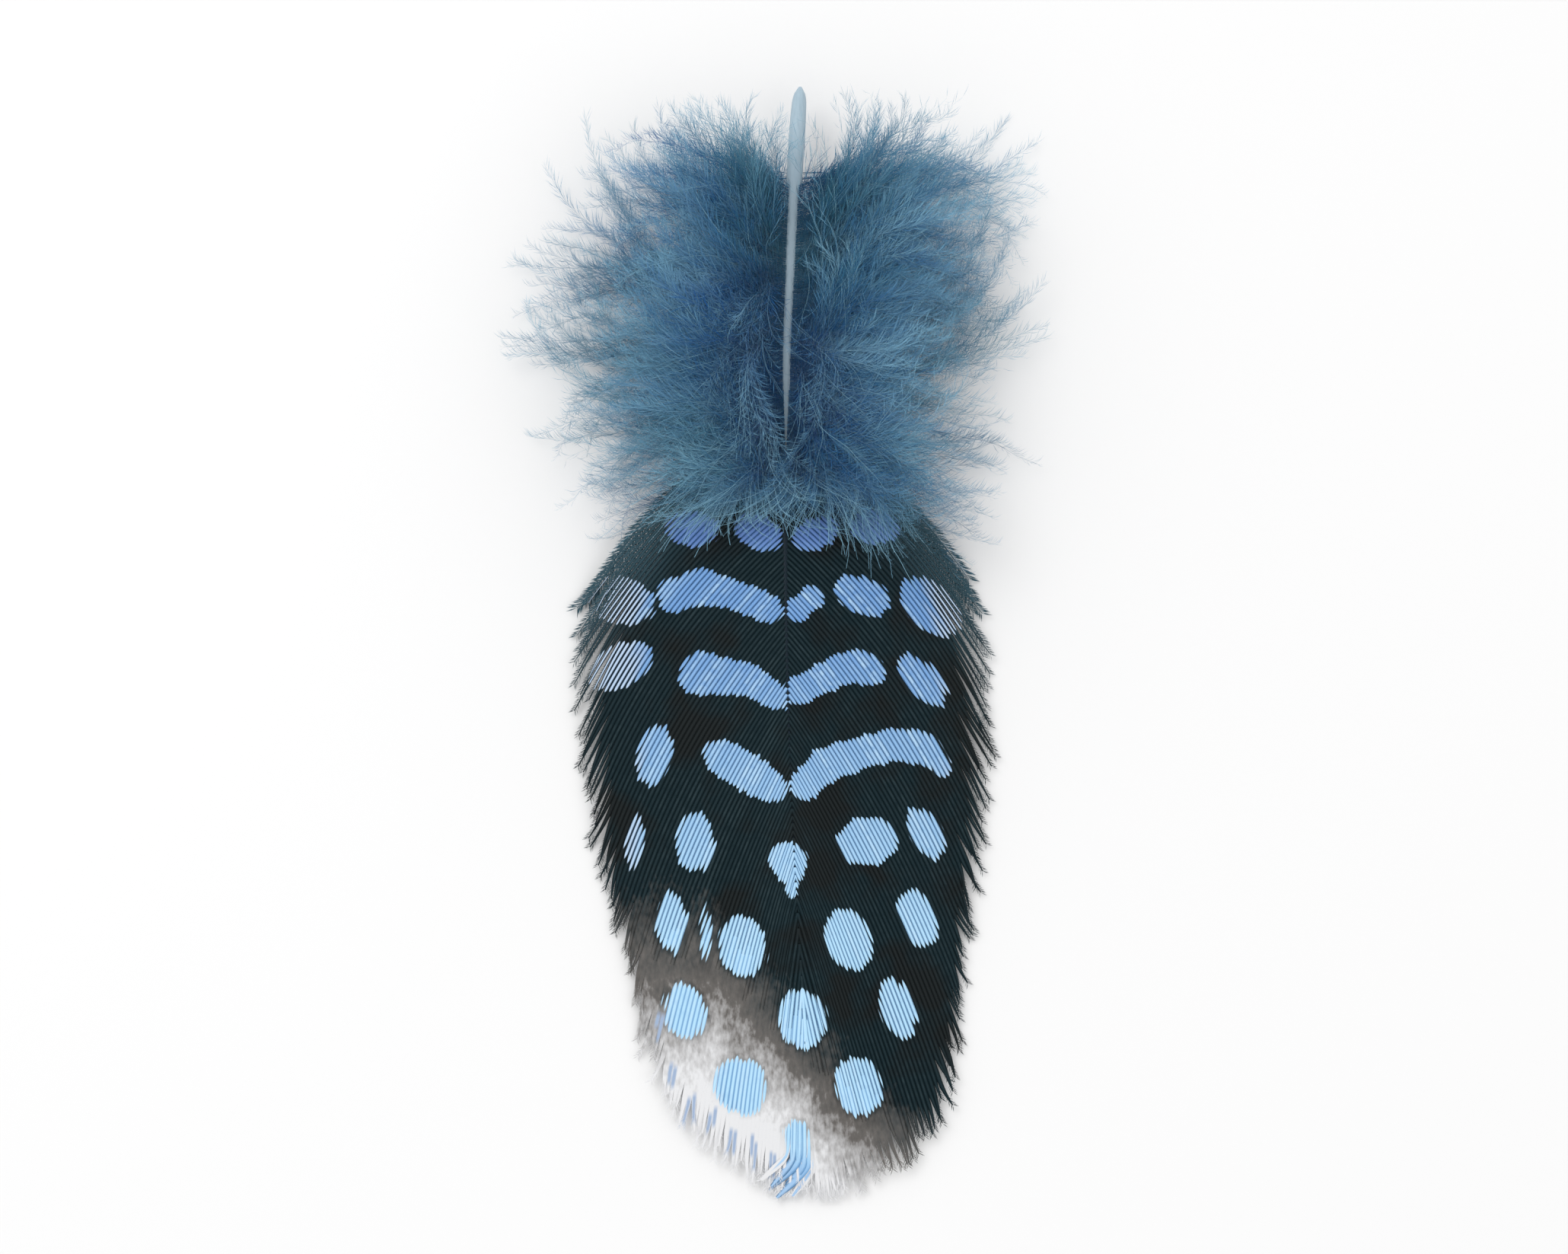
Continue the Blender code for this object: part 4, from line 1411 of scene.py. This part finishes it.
def downy_barbs(layer, draw, look):
    """Barbs in wisps, each with its own turn and curl, as rows: point, barb, share, tone and
    how near the point is to the down's front."""
    rows = []
    last = len(layer.locks) - 1
    for number in range(layer.barbs):
        if number % layer.wisp == 0:
            turn = draw.gauss(0, look.turn * layer.turning)
            curl = draw.gauss(0, look.curl * layer.turning)
            reach = 1 - WISP_SHORTER * draw.random() ** WISP_SHORTER_SHAPE
            rise = draw.uniform(*WISP_HEIGHTS)
            tone = draw.gauss(0, look.contrast)
            ahead = draw.uniform(*WISP_FRONTS)
        position = ((number + draw.random()) / layer.barbs) ** layer.crowding * last
        first = min(int(position), last - 1)
        part = position - first
        own_reach = reach * draw.uniform(*BARB_REACHES)
        own_turn = turn + draw.gauss(0, look.turn * BARB_TURN)
        own_curl = curl + draw.gauss(0, look.curl * BARB_TURN)
        aside = Vector([draw.gauss(0, BARB_ASIDE) for _ in range(3)]) * look.spread
        strand = []
        for step in range(BARB_STEPS + 1):
            share = step / BARB_STEPS
            blend = part + (round(part) - part) * look.gather * share
            near = point_on(layer.locks[first], share * own_reach)
            point = near.lerp(point_on(layer.locks[first + 1], share * own_reach), blend)
            if step == 0:
                root = point
            angle = (own_turn + own_curl * share) * min(share * TURNS_FROM_ROOT, 1.0)
            away = turned(point - root, angle)
            away.z *= 1 - (1 - rise) * share
            strand.append(root + away + aside * share)
        strand = kept_in(strand, look.reach * draw.uniform(*REACH_SHARES),
                         look.behind * draw.uniform(*BEHIND_SHARES),
                         ahead + draw.gauss(0, BARB_FRONT) * MM)
        rows += [(point, number, step / BARB_STEPS, tone, nearness(point))
                 for step, point in enumerate(strand)]
    return rows


def nearness(point):
    """How near a point is to the front of the down, from 0 to 1."""
    away = point.y - LENGTH / 2 + between(DOWN_FRONT, point.x, 1)
    return clamped(1 - away / FRONT_FRINGE)


def kept_in(strand, aside, behind, short):
    """A barb drawn back to its root until it stays inside the down's outline.

    Aside and behind are how far it may reach from the middle to the side and towards the quill's
    end, and short is how far it stops short of the down's front.
    """
    root = strand[0]
    kept = 1.0
    for point in strand:
        if abs(point.x) > aside:
            kept = min(kept, (aside - abs(root.x)) / (abs(point.x) - abs(root.x)))
        if point.y > behind > root.y:
            kept = min(kept, (behind - root.y) / (point.y - root.y))
        front = LENGTH / 2 - between(DOWN_FRONT, point.x, 1) + short
        if point.y < front < root.y:
            kept = min(kept, (root.y - front) / (root.y - point.y))
    return [root.lerp(point, kept) for point in strand]


# What a layer of down is made with. Turning, waving, splay, spacing, combing and width are factors
# on the settings. Crowding under 1 puts more barbs near the vane, and above 1 near the quill.
# Gleam is a painted highlight that makes barbs paler, dwindle shortens the barbules at their ends,
# grey weakens the dye, flatness keeps barbules level, and paling is how pale the ends are.
LAYER_DEFAULTS = {"turning": 1.0, "waving": 1.0, "splay": 1.0, "spacing": 1.0, "combing": 1.0,
                  "width": 1.0, "crowding": 0.85, "gleam": -0.02, "dwindle": 0.55, "grey": 0.0,
                  "flatness": 0.0, "paling": 1.0}
FINE_LAYER = {"wisp": 3, "turning": 1.2, "waving": 0.8, "spacing": 6.0, "width": 0.65,
              "gleam": 0.25, "dwindle": 0.4, "grey": 0.05}
DRAPED_LAYER = {"wisp": 5, "turning": 0.55, "waving": 0.35, "splay": 0.3, "spacing": 1.2,
                "combing": 0.3, "width": 0.8, "crowding": 1.4, "gleam": 0.20, "dwindle": 0.85,
                "grey": 0.12, "flatness": 0.85, "paling": 0.6}
Layer = namedtuple("Layer", ["name", "locks", "barbs", "wisp", *LAYER_DEFAULTS],
                   defaults=LAYER_DEFAULTS.values())


def down_layers(side, look):
    """The layers of down on one side; the fine one has the upper one's locks."""
    upper = side_locks(side, 1)
    return (Layer("lower_down", side_locks(side, 0), look.lower_barbs, look.wisp),
            Layer("upper_down", upper, look.upper_barbs, look.wisp),
            Layer("fine_down", upper, look.fine_barbs, **FINE_LAYER),
            Layer("draped_down", draped_locks(side), look.draped_barbs, **DRAPED_LAYER))


class FEATHER_OT_down(bpy.types.Operator):
    """Makes the down on both sides and the down that lies over the root of the vane"""

    bl_idname = "feather.down"
    bl_label = "Down"

    def execute(self, context):
        look = context.scene.feather_down
        tree = down_tree()
        material = down_material(look)
        draw = random.Random(DOWN_SEED)
        seed = 0
        for side, word in ((-1, "left"), (1, "right")):
            for layer in down_layers(side, look):
                seed += 1
                points, strands, shares, tones, nears = zip(*downy_barbs(layer, draw, look))
                piece = grown(word + "_" + layer.name, points, (
                    ("strand", "INT", strands), ("share", "FLOAT", shares),
                    ("tone", "FLOAT", tones), ("near", "FLOAT", nears)), tree, {
                        "Wave": look.wave * layer.waving, "Width": look.width * layer.width,
                        "Spacing": look.spacing * layer.spacing, "Barbule": look.barbule,
                        "Barbule Width": look.barbule_width, "Splay": layer.splay,
                        "Ceiling": CAD_BOX[1][2], "Floor": DOWN_FLOOR, "Reach": look.reach,
                        "Comb": look.comb * layer.combing, "Gleam": layer.gleam,
                        "Dwindle": layer.dwindle, "Greyness": layer.grey,
                        "Flatness": layer.flatness, "Paling": layer.paling, "Seed": seed,
                        "Material": material})
                carried(piece)
        return {"FINISHED"}


# The stage, in metres
FLOOR_SIZE = 3.0
LOOKED_AT = (0.0, 0.0, 0.004)
SENSOR = 36.0                   # width of the camera's sensor, in mm
PICTURE = (2060, 1647)
NEAREST_SEEN = 0.01
WHITE = (1.0, 1.0, 1.0)
# Each soft light: name, place, size, strength as a share of the softbox's
SOFT_LIGHTS = (
    ("softbox", (-0.22, 0.20, 0.42), 0.30, 1.0),
    ("fill light", (0.30, -0.18, 0.35), 0.35, 0.35),
)


def floor_plane(colour):
    """The plain pale floor."""
    mesh = bpy.data.meshes.new("floor")
    corners = [(x * FLOOR_SIZE, y * FLOOR_SIZE, 0.0)
               for x, y in ((-1, -1), (1, -1), (1, 1), (-1, 1))]
    mesh.from_pydata(corners, [], [(0, 1, 2, 3)])
    floor = bpy.data.objects.new("floor", mesh)
    bpy.context.scene.collection.objects.link(floor)
    paint = Shader("floor paint", {"Roughness": 0.9})
    paint.colour(colour)
    mesh.materials.append(paint.material)


def daylight(strength):
    """Even white light from all round."""
    world = bpy.data.worlds.new("soft daylight")
    world.use_nodes = True
    backdrop = world.node_tree.nodes["Background"]
    backdrop.inputs["Color"].default_value = (*WHITE, 1.0)
    backdrop.inputs["Strength"].default_value = strength
    bpy.context.scene.world = world


def soft_light(name, place_at, size, power):
    """A square soft light that looks at the feather's middle."""
    light = bpy.data.lights.new(name, "AREA")
    light.size = size
    light.energy = power
    light.color = WHITE
    lamp = bpy.data.objects.new(name, light)
    lamp.location = place_at
    lamp.rotation_euler = (-Vector(place_at)).to_track_quat("-Z", "Y").to_euler()
    bpy.context.scene.collection.objects.link(lamp)


def front_camera(look):
    """The camera in front of the vane's tip, high over the floor."""
    camera = bpy.data.cameras.new("camera")
    camera.lens = look.lens
    camera.sensor_width = SENSOR
    camera.clip_start = NEAREST_SEEN
    seen = bpy.data.objects.new("camera", camera)
    bpy.context.scene.collection.objects.link(seen)
    frame_height = SENSOR * PICTURE[1] / PICTURE[0]
    distance = LENGTH / look.filled * look.lens / frame_height
    direction = Vector((0.0, -math.cos(look.elevation), math.sin(look.elevation)))
    seen.location = Vector(LOOKED_AT) + direction * distance
    seen.rotation_euler = (-direction).to_track_quat("-Z", "Y").to_euler()
    bpy.context.scene.camera = seen


class FEATHER_OT_stage(bpy.types.Operator):
    """Makes the floor, the soft light and the camera"""

    bl_idname = "feather.stage"
    bl_label = "Stage"

    def execute(self, context):
        look = context.scene.feather_stage
        floor_plane(look.floor)
        daylight(look.daylight)
        for name, place_at, size, share in SOFT_LIGHTS:
            soft_light(name, place_at, size, look.softbox * share)
        front_camera(look)
        context.scene.view_settings.view_transform = "Standard"
        return {"FINISHED"}


class FEATHER_PT_panel(bpy.types.Panel):
    """Lists the steps that make the feather"""

    bl_idname = "FEATHER_PT_panel"
    bl_label = "Guinea Fowl Feather"
    bl_space_type = "VIEW_3D"
    bl_region_type = "UI"
    bl_category = "Feather"

    def draw(self, context):
        for group, step in STEPS:
            box = self.layout.box()
            settings = getattr(context.scene, group)
            for setting in settings.bl_rna.properties:
                if setting.identifier not in ("rna_type", "name"):
                    box.prop(settings, setting.identifier)
            box.operator("feather." + step)


STEPS = (("feather_shaft", "shaft"), ("feather_vanes", "vanes"), ("feather_down", "down"),
         ("feather_stage", "stage"))
GROUPS = (("feather_shaft", FeatherShaft), ("feather_vanes", FeatherVanes),
          ("feather_down", FeatherDown), ("feather_stage", FeatherStage))
CLASSES = (FeatherShaft, FeatherVanes, FeatherDown, FeatherStage, FEATHER_OT_shaft,
           FEATHER_OT_vanes, FEATHER_OT_down, FEATHER_OT_stage, FEATHER_PT_panel)


def register():
    for made in CLASSES:
        bpy.utils.register_class(made)
    for name, group in GROUPS:
        setattr(bpy.types.Scene, name, bpy.props.PointerProperty(type=group))


def unregister():
    for name, group in GROUPS:
        delattr(bpy.types.Scene, name)
    for made in reversed(CLASSES):
        bpy.utils.unregister_class(made)


def main():
    register()
    for _, step in STEPS:
        getattr(bpy.ops.feather, step)()


if __name__ == "__main__":
    main()
